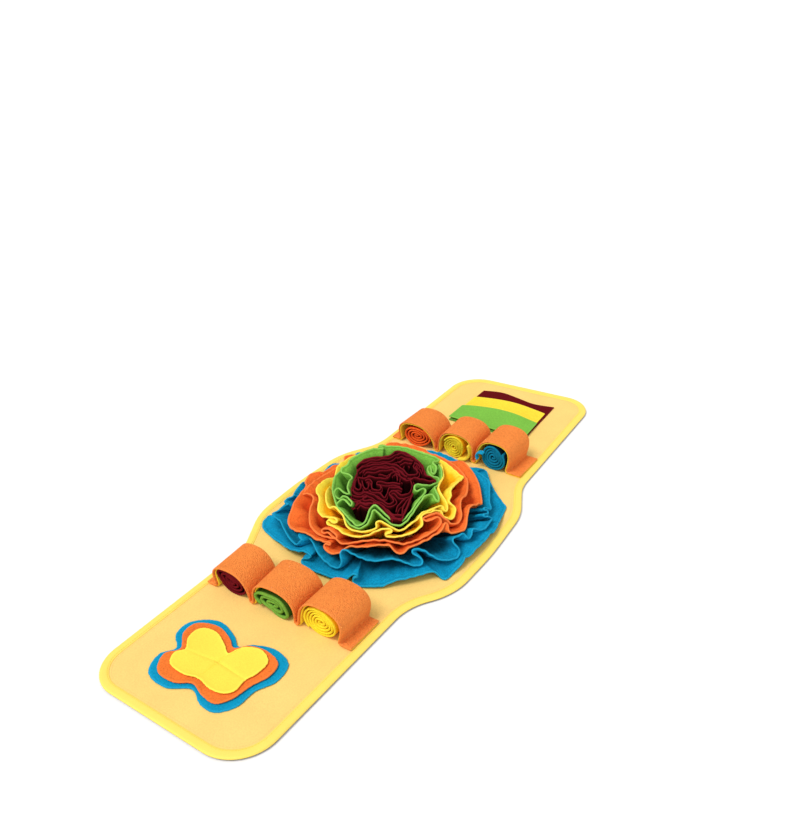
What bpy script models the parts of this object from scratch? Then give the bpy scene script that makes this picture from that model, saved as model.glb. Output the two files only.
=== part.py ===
"""Snuffle mat: a bound fleece panel that carries a ruffled rosette, two strips of loops round
rolled fleece, a butterfly in three layers and three stacked pockets.

Metres, +Z up. The panel lies on the floor with its butterfly end at -X and its pockets at +X.
"""

import math

import bmesh
import bpy
import numpy as np
from mathutils import Matrix, Vector
from mathutils.geometry import interpolate_bezier

MM = 0.001

# Panel and binding
PANEL_THICKNESS = 3.2 * MM
PANEL_RIM = 2.3 * MM  # the panel's edge lies this far inside the tape's
PANEL_RIM_LOW = 1.3 * MM  # the rim is pressed thinner where the tape holds it
PANEL_RIM_HIGH = 2.7 * MM
TAPE_THICKNESS = 1.0 * MM
TAPE_WIDTH = 10.0 * MM
TAPE_TOP = 4.0 * MM
TAPE_SHOULDER = 1.4 * MM  # where the tape starts to turn round the edge
GAP = 0.3 * MM  # between pieces that touch

# Corners of the panel: along, across, corner radius, in millimetres, anticlockwise from above
PANEL_CORNERS = (
    (-403, -117, 50),
    (-132, -120, 74),
    (-86, -154, 90),
    (0, -155, 400),
    (88, -148, 100),
    (146, -119, 74),
    (407, -109, 42),
    (391, 112, 48),
    (138, 111, 74),
    (83, 144, 100),
    (-5, 150, 400),
    (-85, 147, 100),
    (-151, 113, 74),
    (-400, 113, 45),
)
CORNER_STEP = math.radians(18)

FLEECE = 2.2 * MM
SHARP_ANGLE = math.radians(50)

# Colours, linear RGB
CREAM = (0.930, 0.690, 0.270)
LEMON = (1.000, 0.730, 0.040)
YELLOW = (1.000, 0.660, 0.030)
ORANGE = (0.900, 0.180, 0.035)
GREEN = (0.190, 0.480, 0.060)
BLUE = (0.012, 0.330, 0.640)
BURGUNDY = (0.110, 0.006, 0.014)

# Rosette: every ruffle is sewn down on an inner ring and its free edge ends on a low dome
ROSETTE_CROWN = 63.0 * MM  # the dome's height at its middle
ROSETTE_SKIRT = 155.0 * MM  # the dome's radius at the panel
ROSETTE_FALL = 2.4  # how late the dome turns down
LOWEST_EDGE = 5.8 * MM
SEAM_SHARE = 0.6  # radius of a ruffle's seam, as a share of its free edge's
SEAM_HEIGHT = 3.9 * MM
SEAM_SLANT = 0.7 * MM  # the outermost seams' middle lines lie higher by this, as they leave aslant
SEAM_FOLD = 0.15  # depth of the folds at the seam, as a share of their depth at the free edge
SEAM_DRAW = 20.0 * MM  # folds narrower than this are drawn out of the seam
RUFFLE_LEAN = 0.3  # how far a ruffle leans out before it bends, as a share of its reach
RUFFLE_DROOP = 16.0 * MM  # how far the outermost ruffles rise before they fall outward
RUFFLE_ROWS = 2
STATIONS_PER_TURN = 3

# The green ruffles stand up higher on the side of the pockets
WALL_RISE = 8.0 * MM
WALL_BEARING = math.radians(25)
WALL_SPREAD = math.radians(65)

# Free edges of the ruffles, outermost first. Each row is one turn of the edge, outward and
# inward by turns: bearing in degrees, distance from the rosette's middle in millimetres
RUFFLES = {
    "ruffle_blue_lower": (
        (7, 146), (20, 139), (38, 147), (55, 140), (72, 139), (88, 134), (103, 141), (115, 145),
        (130, 156), (146, 147), (158, 142), (167, 136), (173, 142), (182, 145), (194, 145),
        (200, 140), (206, 146), (213, 146), (223, 142), (235, 140), (241, 153), (256, 142),
        (268, 140), (283, 144), (304, 152), (320, 147), (337, 156), (346, 146), (356, 149),
    ),
    "ruffle_blue_upper": (
        (4, 134), (20, 128), (38, 136), (54, 129), (70, 132), (86, 126), (104, 130), (121, 136),
        (134, 135), (148, 135), (155, 131), (161, 125), (167, 123), (178, 129), (187, 134),
        (190, 126), (191, 121), (203, 121), (218, 123), (228, 129), (235, 121),
        (242, 126), (251, 136), (257, 129), (259, 121), (267, 127), (274, 121), (278, 133),
        (290, 136), (294, 129), (300, 129), (318, 134), (338, 137), (350, 130),
    ),
    "ruffle_orange_outer": (
        (6, 124), (24, 118), (40, 122), (60, 115), (78, 117), (96, 110), (114, 118), (128, 125),
        (142, 126), (156, 121), (168, 117), (178, 119), (184, 122), (191, 114), (206, 109),
        (216, 110), (222, 115), (232, 112), (246, 107), (254, 107), (259, 115), (268, 118),
        (281, 111), (290, 113), (304, 121), (322, 124), (340, 125),
    ),
    "ruffle_orange_inner": (
        (2, 112), (22, 106), (40, 110), (62, 104), (82, 106), (104, 99), (124, 107), (137, 112),
        (151, 110), (164, 112), (173, 110), (182, 107), (191, 106), (206, 101), (216, 103),
        (226, 107), (236, 105), (247, 100), (256, 98), (264, 107), (270, 104), (282, 101),
        (294, 103), (306, 107), (322, 112), (342, 114),
    ),
    "ruffle_yellow_outer": (
        (8, 102), (26, 97), (42, 100), (60, 95), (78, 97), (98, 89), (112, 88), (122, 95),
        (140, 93), (156, 98), (166, 96), (171, 99), (181, 97), (193, 99), (203, 96), (210, 92),
        (216, 93), (223, 99), (233, 97), (243, 92), (254, 88), (263, 92), (269, 97), (276, 93),
        (290, 90), (306, 97), (324, 103), (344, 104),
    ),
    "ruffle_yellow_inner": (
        (0, 94), (18, 92), (36, 94), (56, 89), (76, 91), (94, 82), (110, 80), (126, 85),
        (146, 84), (160, 89), (170, 88), (182, 91), (193, 93), (202, 90), (208, 83), (214, 84),
        (223, 93), (234, 90), (244, 83), (256, 80), (266, 84), (278, 82), (292, 82), (308, 86),
        (326, 91), (344, 96),
    ),
    "ruffle_green_outer": (
        (4, 87), (20, 85), (38, 87), (58, 83), (78, 84), (92, 76), (104, 75), (118, 70),
        (134, 75), (148, 74), (160, 79), (172, 80), (183, 84), (191, 88), (198, 82), (202, 72),
        (209, 71), (216, 80), (224, 87), (233, 84), (244, 76), (256, 73), (266, 76), (275, 73),
        (286, 71), (300, 75), (318, 76), (332, 82), (348, 85),
    ),
    "ruffle_green_inner": (
        (2, 80), (22, 78), (40, 80), (60, 76), (78, 77), (94, 69), (108, 67), (124, 62),
        (138, 67), (152, 66), (164, 71), (176, 72), (186, 79), (193, 80), (198, 73), (201, 65),
        (208, 63), (215, 71), (223, 80), (231, 77), (242, 69), (254, 65), (264, 66), (272, 62),
        (283, 63), (296, 68), (312, 69), (328, 73), (346, 78),
    ),
    "ruffle_burgundy_outer": (
        (4, 62), (16, 65), (27, 61), (42, 60), (58, 63), (76, 60), (92, 61), (108, 57),
        (124, 53), (138, 58), (154, 56), (168, 61), (180, 67), (190, 70), (197, 61), (206, 56),
        (214, 63), (224, 72), (235, 65), (248, 57), (262, 53), (272, 51), (284, 55), (294, 60),
        (310, 58), (326, 61), (346, 64),
    ),
}
RUFFLE_COLOURS = {
    "blue": BLUE,
    "orange": ORANGE,
    "yellow": YELLOW,
    "green": GREEN,
    "burgundy": BURGUNDY,
}

# Burgundy rings inside the outer one: free edge radius, depth of folds, number of folds, turn
BURGUNDY_RINGS = {
    "ruffle_burgundy_second": (45.0, 5.5, 11, 0.45),
    "ruffle_burgundy_third": (29.0, 5.0, 8, 0.6),
    "ruffle_burgundy_centre": (14.0, 5.0, 4, 0.3),
}
RING_OVERHANG = 0.55  # how far a fold's sides lean over its root
RING_STATIONS = 6
RING_OVAL = 0.12  # the rings are longer along the mat by this share
RING_BEARING = math.radians(10)

# Butterfly, cut in three layers, lowest first: outline in millimetres, along and across the mat
BUTTERFLY_CLOTH = 1.2 * MM
BUTTERFLY = {
    "butterfly_blue": (BLUE, (
        (-273, 61), (-265, 40), (-274, 12), (-283, -2), (-273, -13), (-265, -38), (-274, -64),
        (-298, -69), (-320, -59), (-345, -57), (-362, -43), (-362, -24), (-352, -3),
        (-365, 23), (-360, 53), (-335, 63), (-320, 54), (-305, 70), (-287, 72),
    )),
    "butterfly_orange": (ORANGE, (
        (-275, 52), (-272, 33), (-280, 12), (-288, -1), (-276, -13), (-271, -33), (-279, -57),
        (-298, -60), (-318, -53), (-342, -48), (-355, -38), (-354, -19), (-348, 0),
        (-357, 18), (-355, 44), (-334, 56), (-320, 47), (-301, 62), (-285, 62),
    )),
    "butterfly_yellow": (YELLOW, (
        (-285, 45), (-283, 29), (-292, 9), (-299, -3), (-285, -10), (-277, -29), (-286, -47),
        (-306, -48), (-317, -44), (-334, -45), (-342, -38), (-345, -22), (-341, -1),
        (-345, 16), (-341, 40), (-328, 46), (-319, 40), (-305, 50), (-292, 51),
    )),
}
BUTTERFLY_STEPS = 2

# Pockets, lowest first: colour, reach of the open edge at its left, its middle and its right,
# how far it bulges up in the middle, its waviness; all in millimetres
POCKET_CLOTH = 1.6 * MM
POCKET_SEAM = 252.0 * MM
POCKET_LEFT = 59.0 * MM
POCKET_RIGHT = -62.0 * MM
POCKETS = {
    "pocket_burgundy": (BURGUNDY, 354, 359, 366, 1.5, 4.5),
    "pocket_yellow": (YELLOW, 327, 336, 332, 2.5, 0.0),
    "pocket_green": (GREEN, 290, 301, 298, 3.5, 0.0),
}
POCKET_COLUMNS = 3
POCKET_ROWS = 10

# Loop strips: place of the near edge along the mat, tails and feet across it, in millimetres.
# Each loop has its height at the near edge and at the other, how far it bulges over its left
# foot and its right one, and how far its top leans to the left.
STRIP_WIDTH = 51.0 * MM
STRIP_OUTER = 1.6 * MM
STRIP_INNER = 1.4 * MM
FOOT_RADIUS = 2.6 * MM
FOOT_POINTS = 3  # to each quarter turn
LOOP_FULLNESS = 2.5  # exponent of the arch: 2 is an ellipse, more is fuller
LOOP_POINTS = 10
STRIPS = {
    "near": {
        "start": -223,
        "tails": (102, -107.5),
        "feet": (87, 28, -34.5, -87.5),
        "loops": ((38, 42, 8, 0, 4), (41, 43, 1, 2, 3), (41, 43, 2, 10, 0)),
    },
    "far": {
        "start": 162,
        "tails": (100.5, -105),
        "feet": (88, 28, -33, -85),
        "loops": ((41, 42, 5, 2, 0), (41, 43, 1, 2, 0), (41, 43, 1, 10, 0)),
    },
}

# Rolls: strip, middle across the mat, half width, half height, how far the ends stand past the
# strip's edges at the butterfly's side and at the pockets' side, all in millimetres, and colour
ROLLS = {
    "roll_near_burgundy": ("near", 62.0, 20.5, 14.5, -5, 0, BURGUNDY),
    "roll_near_green": ("near", -3.0, 23.0, 16.0, 0, 0, GREEN),
    "roll_near_yellow": ("near", -64.0, 20.5, 16.5, 2, 0, YELLOW),
    "roll_far_orange": ("far", 58.0, 21.5, 17.0, 1, -2, ORANGE),
    "roll_far_yellow": ("far", -2.5, 18.5, 17.0, 2, -2, YELLOW),
    "roll_far_blue": ("far", -61.5, 18.5, 17.0, 0, -2, BLUE),
}
ROLL_STEPS = 28
ROLL_LAP = 0.09  # how much lower the winding ends than it began, as a share of its size
ROLL_SEAM = math.radians(60)  # where the winding ends

# Loose ends of rolls: colour, from and to along the mat, then its bends across the mat and up
LOOSE_END = 1.8 * MM
LOOSE_ENDS = {
    "loose_end_far_blue": (BLUE, 154, 161.7, ((-49, 26), (-43, 28), (-38, 25), (-36, 20))),
    "loose_end_far_yellow": (YELLOW, 160, 212, ((-21.8, 24), (-22.6, 17), (-19.5, 10), (-14, 6))),
}


def clear_scene():
    for old in list(bpy.data.objects):
        bpy.data.objects.remove(old, do_unlink=True)


def cloth(name, colour):
    """A matt cloth material."""
    material = bpy.data.materials.new(name)
    material.use_nodes = True
    shader = material.node_tree.nodes["Principled BSDF"]
    shader.inputs["Base Color"].default_value = (*colour, 1.0)
    shader.inputs["Roughness"].default_value = 0.95
    shader.inputs["Metallic"].default_value = 0.0
    return material


def place(name, data, colour, mat):
    """Adds a piece to the mat."""
    piece = bpy.data.objects.new(name, data)
    data.materials.append(cloth(name, colour))
    bpy.data.collections["snuffle_mat"].objects.link(piece)
    piece.parent = mat
    return piece


def grid_mesh(name, columns, rows, shape, closed=False, filled=False):
    """A mesh of columns x rows faces, whose vertices go to shape(share of columns, share of rows)."""
    grid = bmesh.new()
    bmesh.ops.create_grid(grid, x_segments=columns, y_segments=rows, size=0.5)
    for vertex in grid.verts:
        vertex.co = shape(vertex.co.x + 0.5, vertex.co.y + 0.5)
    if closed:
        bmesh.ops.remove_doubles(grid, verts=grid.verts, dist=1e-6)
    if filled:
        bmesh.ops.holes_fill(grid, edges=grid.edges)
    bmesh.ops.recalc_face_normals(grid, faces=grid.faces)
    mesh = bpy.data.meshes.new(name)
    grid.to_mesh(mesh)
    grid.free()
    mesh.shade_smooth()
    mesh.set_sharp_from_angle(angle=SHARP_ANGLE)
    return mesh


def thicken(sheet, thickness):
    """Gives a cloth its thickness, half of it on each side."""
    solidify = sheet.modifiers.new("cloth thickness", "SOLIDIFY")
    solidify.thickness = thickness
    solidify.offset = 0.0
    solidify.use_even_offset = True


def flat_mesh(name, outline, thickness):
    """A closed outline in X and Y, filled and thickened, half of it on each side."""
    curve = bpy.data.curves.new(name, "CURVE")
    curve.dimensions = "2D"
    curve.fill_mode = "BOTH"
    curve.extrude = thickness / 2
    spline = curve.splines.new("POLY")
    spline.points.add(len(outline) - 1)
    for point, corner in zip(spline.points, outline):
        point.co = (*corner, 0.0, 1.0)
    spline.use_cyclic_u = True
    return curve


def smooth_loop(points, steps):
    """A closed centripetal Catmull-Rom curve through the points, with steps to each span."""
    curve = []
    for k, start in enumerate(points):
        before = points[k - 1]
        end = points[(k + 1) % len(points)]
        after = points[(k + 2) % len(points)]
        d0 = math.sqrt((start - before).length)
        d1 = math.sqrt((end - start).length)
        d2 = math.sqrt((after - end).length)
        leave = d1 * ((start - before) / d0 - (end - before) / (d0 + d1) + (end - start) / d1)
        arrive = d1 * ((end - start) / d1 - (after - start) / (d1 + d2) + (after - end) / d2)
        curve += interpolate_bezier(start, start + leave / 3, end - arrive / 3, end, steps + 1)[:-1]
    return curve


def rounded_outline(corners):
    """The outline of a polygon with each corner rounded to its own radius, anticlockwise."""
    outline = []
    for k, (x, y, radius) in enumerate(corners):
        corner = Vector((x, y)) * MM
        before = Vector(corners[k - 1][:2]) * MM
        after = Vector(corners[(k + 1) % len(corners)][:2]) * MM
        arriving = (corner - before).normalized()
        leaving = (after - corner).normalized()
        turn = math.atan2(arriving.cross(leaving), arriving.dot(leaving))
        tangent = radius * MM * math.tan(abs(turn) / 2)
        start = corner - arriving * tangent
        inward = Vector((-arriving.y, arriving.x)) * math.copysign(radius * MM, turn)
        steps = max(1, round(abs(turn) / CORNER_STEP))
        for step in range(steps + 1):
            spoke = Matrix.Rotation(turn * step / steps, 2) @ -inward
            outline.append(start + inward + spoke)
    return outline


def inset_ring(outline, inset):
    """The outline moved inward."""
    ring = []
    for k, point in enumerate(outline):
        arriving = (point - outline[k - 1]).normalized()
        leaving = (outline[(k + 1) % len(outline)] - point).normalized()
        along = (arriving + leaving).normalized()
        widening = 1 / along.dot(leaving)
        ring.append(point + Vector((-along.y, along.x)) * inset * widening)
    return ring


def swept_round(name, outline, profile, filled):
    """A profile of (inset, height) swept round the outline."""
    rings = [inset_ring(outline, inset) for inset, _ in profile]

    def shape(u, v):
        row = round(v * (len(profile) - 1))
        point = rings[row][round(u * len(outline)) % len(outline)]
        return (*point, profile[row][1])

    return grid_mesh(name, len(outline), len(profile) - 1, shape, closed=True, filled=filled)


def make_panel(mat, outline):
    step = TAPE_WIDTH + GAP
    profile = (
        (step, 0.0),
        (step, PANEL_RIM_LOW),
        (PANEL_RIM, PANEL_RIM_LOW),
        (PANEL_RIM, PANEL_RIM_HIGH),
        (step, PANEL_RIM_HIGH),
        (step, PANEL_THICKNESS),
    )
    place("base_panel", swept_round("base_panel", outline, profile, filled=True), CREAM, mat)


def make_binding(mat, outline):
    half = TAPE_THICKNESS / 2
    profile = (
        (TAPE_WIDTH, half),
        (TAPE_SHOULDER, half),
        (half, TAPE_TOP / 2),
        (TAPE_SHOULDER, TAPE_TOP - half),
        (TAPE_WIDTH, TAPE_TOP - half),
    )
    tape = swept_round("edge_binding", outline, profile, filled=False)
    thicken(place("edge_binding", tape, LEMON, mat), TAPE_THICKNESS)


def layer_height(layer, thickness):
    """Middle height of a cloth that lies on the panel with this many layers under it."""
    return PANEL_THICKNESS + GAP + thickness / 2 + layer * (thickness + GAP)


def make_butterfly(mat):
    for layer, (name, (colour, corners)) in enumerate(BUTTERFLY.items()):
        outline = smooth_loop([Vector(corner) * MM for corner in corners], BUTTERFLY_STEPS)
        piece = place(name, flat_mesh(name, outline, BUTTERFLY_CLOTH), colour, mat)
        piece.location.z = layer_height(layer, BUTTERFLY_CLOTH)


def make_pockets(mat):
    for layer, (name, (colour, left, middle, right, bulge, waves)) in enumerate(POCKETS.items()):

        def shape(u, v):
            arch = math.sin(math.pi * v)
            reach = left + (right - left) * v + (middle - (left + right) / 2) * arch
            reach += waves * math.sin(2 * math.pi * v)
            x = POCKET_SEAM + (reach * MM - POCKET_SEAM) * u
            y = POCKET_LEFT + (POCKET_RIGHT - POCKET_LEFT) * v
            return x, y, layer_height(layer, POCKET_CLOTH) + bulge * MM * arch * u * u

        sheet = grid_mesh(name, POCKET_COLUMNS, POCKET_ROWS, shape)
        thicken(place(name, sheet, colour, mat), POCKET_CLOTH)


def strip_path(strip, edge):
    """Middle line of a strip's outer cloth at its near edge (0) or its far one (1), across and up."""
    low = PANEL_THICKNESS + GAP + STRIP_INNER + GAP + STRIP_OUTER / 2
    spring = low + FOOT_RADIUS
    feet = [foot * MM for foot in strip["feet"]]
    left_tail, right_tail = [tail * MM for tail in strip["tails"]]

    def foot_turn(foot, first, last):
        """Points round a foot, between two shares of its half turn."""
        for step in range(round(first * 2 * FOOT_POINTS), round(last * 2 * FOOT_POINTS) + 1):
            angle = -math.pi * step / (2 * FOOT_POINTS)
            spoke = Vector((math.cos(angle), math.sin(angle))) * FOOT_RADIUS
            path.append(Vector((foot, spring)) + spoke)

    path = [Vector((left_tail, low))]
    foot_turn(feet[0], 0.5, 1.0)
    for k, (foot, following) in enumerate(zip(feet, feet[1:])):
        *heights, left_bulge, right_bulge, lean = [size * MM for size in strip["loops"][k]]
        half_span = (foot - following) / 2 - FOOT_RADIUS
        rise = heights[edge] - STRIP_OUTER / 2 - spring
        for step in range(1, LOOP_POINTS):
            angle = math.pi * step / LOOP_POINTS
            reach = math.copysign(abs(math.cos(angle)) ** (2 / LOOP_FULLNESS), math.cos(angle))
            height = math.sin(angle) ** (2 / LOOP_FULLNESS)
            bulge = math.sin(2 * angle) * (left_bulge if step < LOOP_POINTS / 2 else right_bulge)
            across = (foot + following) / 2 + half_span * reach + bulge + lean * height
            path.append(Vector((across, spring + rise * height)))
        foot_turn(following, 0.0, 1.0 if k < len(feet) - 2 else 0.5)
    path.append(Vector((right_tail, low)))
    return path


def beneath(path, distance):
    """The path moved to its lower side."""
    lower = []
    for k, point in enumerate(path):
        arriving = point - path[max(k - 1, 0)]
        leaving = path[min(k + 1, len(path) - 1)] - point
        along = (arriving.normalized() + leaving.normalized()).normalized()
        lower.append(point + Vector((-along.y, along.x)) * distance)
    return lower


def make_strips(mat):
    for place_name, strip in STRIPS.items():
        outer = [strip_path(strip, edge) for edge in (0, 1)]
        depth = STRIP_OUTER / 2 + GAP + STRIP_INNER / 2
        inner = [beneath(path, depth) for path in outer]
        near_edge = strip["start"] * MM
        for layer, paths, thickness, colour in (
            ("outer", outer, STRIP_OUTER, ORANGE),
            ("inner", inner, STRIP_INNER, YELLOW),
        ):
            name = f"strip_{place_name}_{layer}"
            spans = len(paths[0]) - 1

            def shape(u, v):
                return (near_edge + STRIP_WIDTH * u, *paths[round(u)][round(v * spans)])

            thicken(place(name, grid_mesh(name, 1, spans, shape), colour, mat), thickness)


def make_rolls(mat):
    for name, (strip, middle, half_width, half_height, front, back, colour) in ROLLS.items():
        section = []
        for step in range(ROLL_STEPS):
            angle = ROLL_SEAM + 2 * math.pi * step / ROLL_STEPS
            size = (1 - ROLL_LAP * step / ROLL_STEPS) * MM
            section.append((half_width * size * math.cos(angle), half_height * size * math.sin(angle)))
        lowest = min(up for _, up in section)
        length = STRIP_WIDTH + (front + back) * MM
        roll = place(name, flat_mesh(name, section, length), colour, mat)
        roll.rotation_euler = (math.pi / 2, 0.0, math.pi / 2)
        roll.location = (
            STRIPS[strip]["start"] * MM + (STRIP_WIDTH - front * MM + back * MM) / 2,
            middle * MM,
            PANEL_THICKNESS + GAP - lowest,
        )


def make_loose_ends(mat):
    for name, (colour, start, end, bends) in LOOSE_ENDS.items():

        def shape(u, v):
            across, up = bends[round(v * (len(bends) - 1))]
            return (start + (end - start) * u) * MM, across * MM, up * MM

        thicken(place(name, grid_mesh(name, 1, len(bends) - 1, shape), colour, mat), LOOSE_END)


def drawn_in(edge):
    """The line of a ruffle's seam: the same ring with the folds drawn out of it."""
    steps = np.linalg.norm(np.roll(edge, -1, axis=0) - edge, axis=1)
    along = np.concatenate(([0.0], np.cumsum(steps)[:-1]))
    apart = np.abs(along[:, None] - along[None, :])
    apart = np.minimum(apart, steps.sum() - apart)
    weight = np.exp(-((apart / SEAM_DRAW) ** 2) / 2) * (steps + np.roll(steps, 1))[None, :]
    return (weight @ edge) / weight.sum(axis=1)[:, None]


def leaf_point(spot, share, rise):
    """A point of a ruffle, at a share of its height, above the spot that its edge would reach."""
    reach = np.linalg.norm(spot)
    dome = ROSETTE_CROWN * (1 - (reach / ROSETTE_SKIRT) ** ROSETTE_FALL)
    edge_height = max(dome, LOWEST_EDGE) + rise
    seam = np.array((SEAM_SHARE * reach, SEAM_HEIGHT + SEAM_SLANT * reach / ROSETTE_SKIRT))
    edge = np.array((reach, edge_height))
    droop = RUFFLE_DROOP * (reach / ROSETTE_SKIRT) ** 4
    bend = np.array((seam[0] + RUFFLE_LEAN * (reach - seam[0]), edge_height + droop))
    out, up = (1 - share) ** 2 * seam + 2 * share * (1 - share) * bend + share**2 * edge
    return (*(spot / reach * out), up)


def make_ruffle(mat, name, edge, colour, wall=False):
    edge = np.array([tuple(point) for point in edge])
    seam = drawn_in(edge)

    def shape(u, v):
        station = round(u * len(edge)) % len(edge)
        fold = SEAM_FOLD + (1 - SEAM_FOLD) * v
        spot = seam[station] + (edge[station] - seam[station]) * fold
        bearing = math.atan2(spot[1], spot[0])
        off = math.remainder(bearing - WALL_BEARING, 2 * math.pi) / WALL_SPREAD
        rise = WALL_RISE * math.cos(math.pi / 2 * off) ** 2 if wall and abs(off) < 1 else 0.0
        return leaf_point(spot, v, rise)

    ring = grid_mesh(name, len(edge), RUFFLE_ROWS, shape, closed=True)
    thicken(place(name, ring, colour, mat), FLEECE)


def ring_edge(radius, depth, folds, turn):
    """A free edge of even folds whose sides lean over their roots."""
    edge = []
    for step in range(folds * RING_STATIONS):
        phase = 2 * math.pi * step / RING_STATIONS
        bearing = turn + (phase + RING_OVERHANG * math.sin(2 * phase)) / folds
        oval = 1 + RING_OVAL * math.cos(2 * (bearing - RING_BEARING))
        reach = (radius * oval + depth * math.cos(phase)) * MM
        edge.append((reach * math.cos(bearing), reach * math.sin(bearing)))
    return edge


def make_rosette(mat):
    for name, turns in RUFFLES.items():
        points = [
            Vector((math.cos(math.radians(bearing)), math.sin(math.radians(bearing)))) * reach * MM
            for bearing, reach in turns
        ]
        colour = RUFFLE_COLOURS[name.split("_")[1]]
        make_ruffle(mat, name, smooth_loop(points, STATIONS_PER_TURN), colour, wall="green" in name)
    for name, ring in BURGUNDY_RINGS.items():
        make_ruffle(mat, name, ring_edge(*ring), BURGUNDY)


def make_mat():
    clear_scene()
    collection = bpy.data.collections.new("snuffle_mat")
    bpy.context.scene.collection.children.link(collection)
    mat = bpy.data.objects.new("mat", None)
    collection.objects.link(mat)
    outline = rounded_outline(PANEL_CORNERS)
    for axis in (0, 1):
        along = [point[axis] for point in outline]
        mat.location[axis] = -(min(along) + max(along)) / 2
    make_panel(mat, outline)
    make_binding(mat, outline)
    make_butterfly(mat)
    make_pockets(mat)
    make_strips(mat)
    make_rolls(mat)
    make_loose_ends(mat)
    make_rosette(mat)


make_mat()
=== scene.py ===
import math

import bmesh
import bpy
import numpy as np
from mathutils import Matrix, Vector
from mathutils.geometry import interpolate_bezier


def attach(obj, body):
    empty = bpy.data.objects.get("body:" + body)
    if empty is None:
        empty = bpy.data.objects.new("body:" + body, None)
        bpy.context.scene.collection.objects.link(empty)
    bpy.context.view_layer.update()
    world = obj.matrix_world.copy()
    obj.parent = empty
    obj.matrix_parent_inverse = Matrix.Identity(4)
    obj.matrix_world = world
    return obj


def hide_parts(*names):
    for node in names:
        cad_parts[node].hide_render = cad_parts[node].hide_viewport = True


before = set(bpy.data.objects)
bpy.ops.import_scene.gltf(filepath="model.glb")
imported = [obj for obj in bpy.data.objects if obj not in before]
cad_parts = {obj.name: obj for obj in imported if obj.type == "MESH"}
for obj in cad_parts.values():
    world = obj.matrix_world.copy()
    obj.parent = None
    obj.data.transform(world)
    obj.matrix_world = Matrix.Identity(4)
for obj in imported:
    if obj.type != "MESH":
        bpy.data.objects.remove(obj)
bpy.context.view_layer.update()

# ---------------------------------------------------------------------------------------------
# Panel: one piece of cream fleece with softly rounded corners and a wide middle, which carries
# everything else. It is cut flat, and its rim is pressed thin inside the edge tape.
# ---------------------------------------------------------------------------------------------

MM = 0.001
MAT_MIDDLE = np.array((-0.758, 2.790, 0.0)) * MM  # where the places below are measured from
GAP = 0.3 * MM  # between cloths that lie on each other
PANEL_THICKNESS = 3.2 * MM
PANEL_RIM = 2.3 * MM  # from the tape's outer edge to the panel's, inside it
PANEL_PRESSED = 2.5 * MM  # height of its top inside the tape
PANEL_LIFTED = 1.3 * MM  # height of its underside there
PANEL_SWELL = 0.30 * MM  # how unevenly the fleece lies
PANEL_SWELL_SIZE = 60.0 * MM
SWELL_WAVES = 7
SWELL_CALM = 4  # what brings their sum to about 1
PANEL_TIP = 0.1 * MM  # left off at each end, where the two long sides meet
# Between which distances from the outline the top rises, the underside falls, the swell begins
TOP_SLOPE = (8 * MM, 12 * MM)
UNDER_SLOPE = (8 * MM, 15 * MM)
SWELL_SLOPE = (10 * MM, 26 * MM)
PANEL_COLUMNS = 170
PANEL_ROWS = 64

# Corners of the panel: along, across, corner radius, in millimetres, anticlockwise from above
PANEL_CORNERS = (
    (-403, -117, 50),
    (-132, -120, 74),
    (-86, -154, 90),
    (0, -155, 400),
    (88, -148, 100),
    (146, -119, 74),
    (407, -109, 42),
    (391, 112, 48),
    (138, 111, 74),
    (83, 144, 100),
    (-5, 150, 400),
    (-85, 147, 100),
    (-151, 113, 74),
    (-400, 113, 45),
)
CORNER_STEP = math.radians(3)
OUTLINE_STEP = 4.0 * MM

CREAM = (0.925, 0.600, 0.185)

# Fleece: how much its pills and the broader clouds, so many pills wide, show in colour and relief
PILL_TONE = 2.2
CLOUD_TONE = 0.9
CLOUD_RELIEF = 0.6
CLOUD_SIZE = 18
# Worn pile in round pebbles: how many to a pill's width, which part of them has the cloth's own
# tone, and their relief
PEBBLE_COUNT = 1.1
PEBBLE_TONE = 0.62
PEBBLE_RELIEF = 1.5
PALE_EDGE = 1.35  # how much lighter a cut edge is than its cloth: partly fluffed pile, partly painted highlight
FLUFF_HIGHLIGHT_FROM = 0.3 * MM  # fully lightened up to here from a cut edge
SHADE_LINE_FROM = (0.8 * MM, 2.0 * MM)  # a line of painted shade just inside an edge fades in and out here
SHADE_LINE_TO = (2.0 * MM, 5.0 * MM)
EDGE_TURNS = (math.pi / 4, math.pi / 2, math.pi * 3 / 4)  # points round the edge of a cloth


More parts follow.
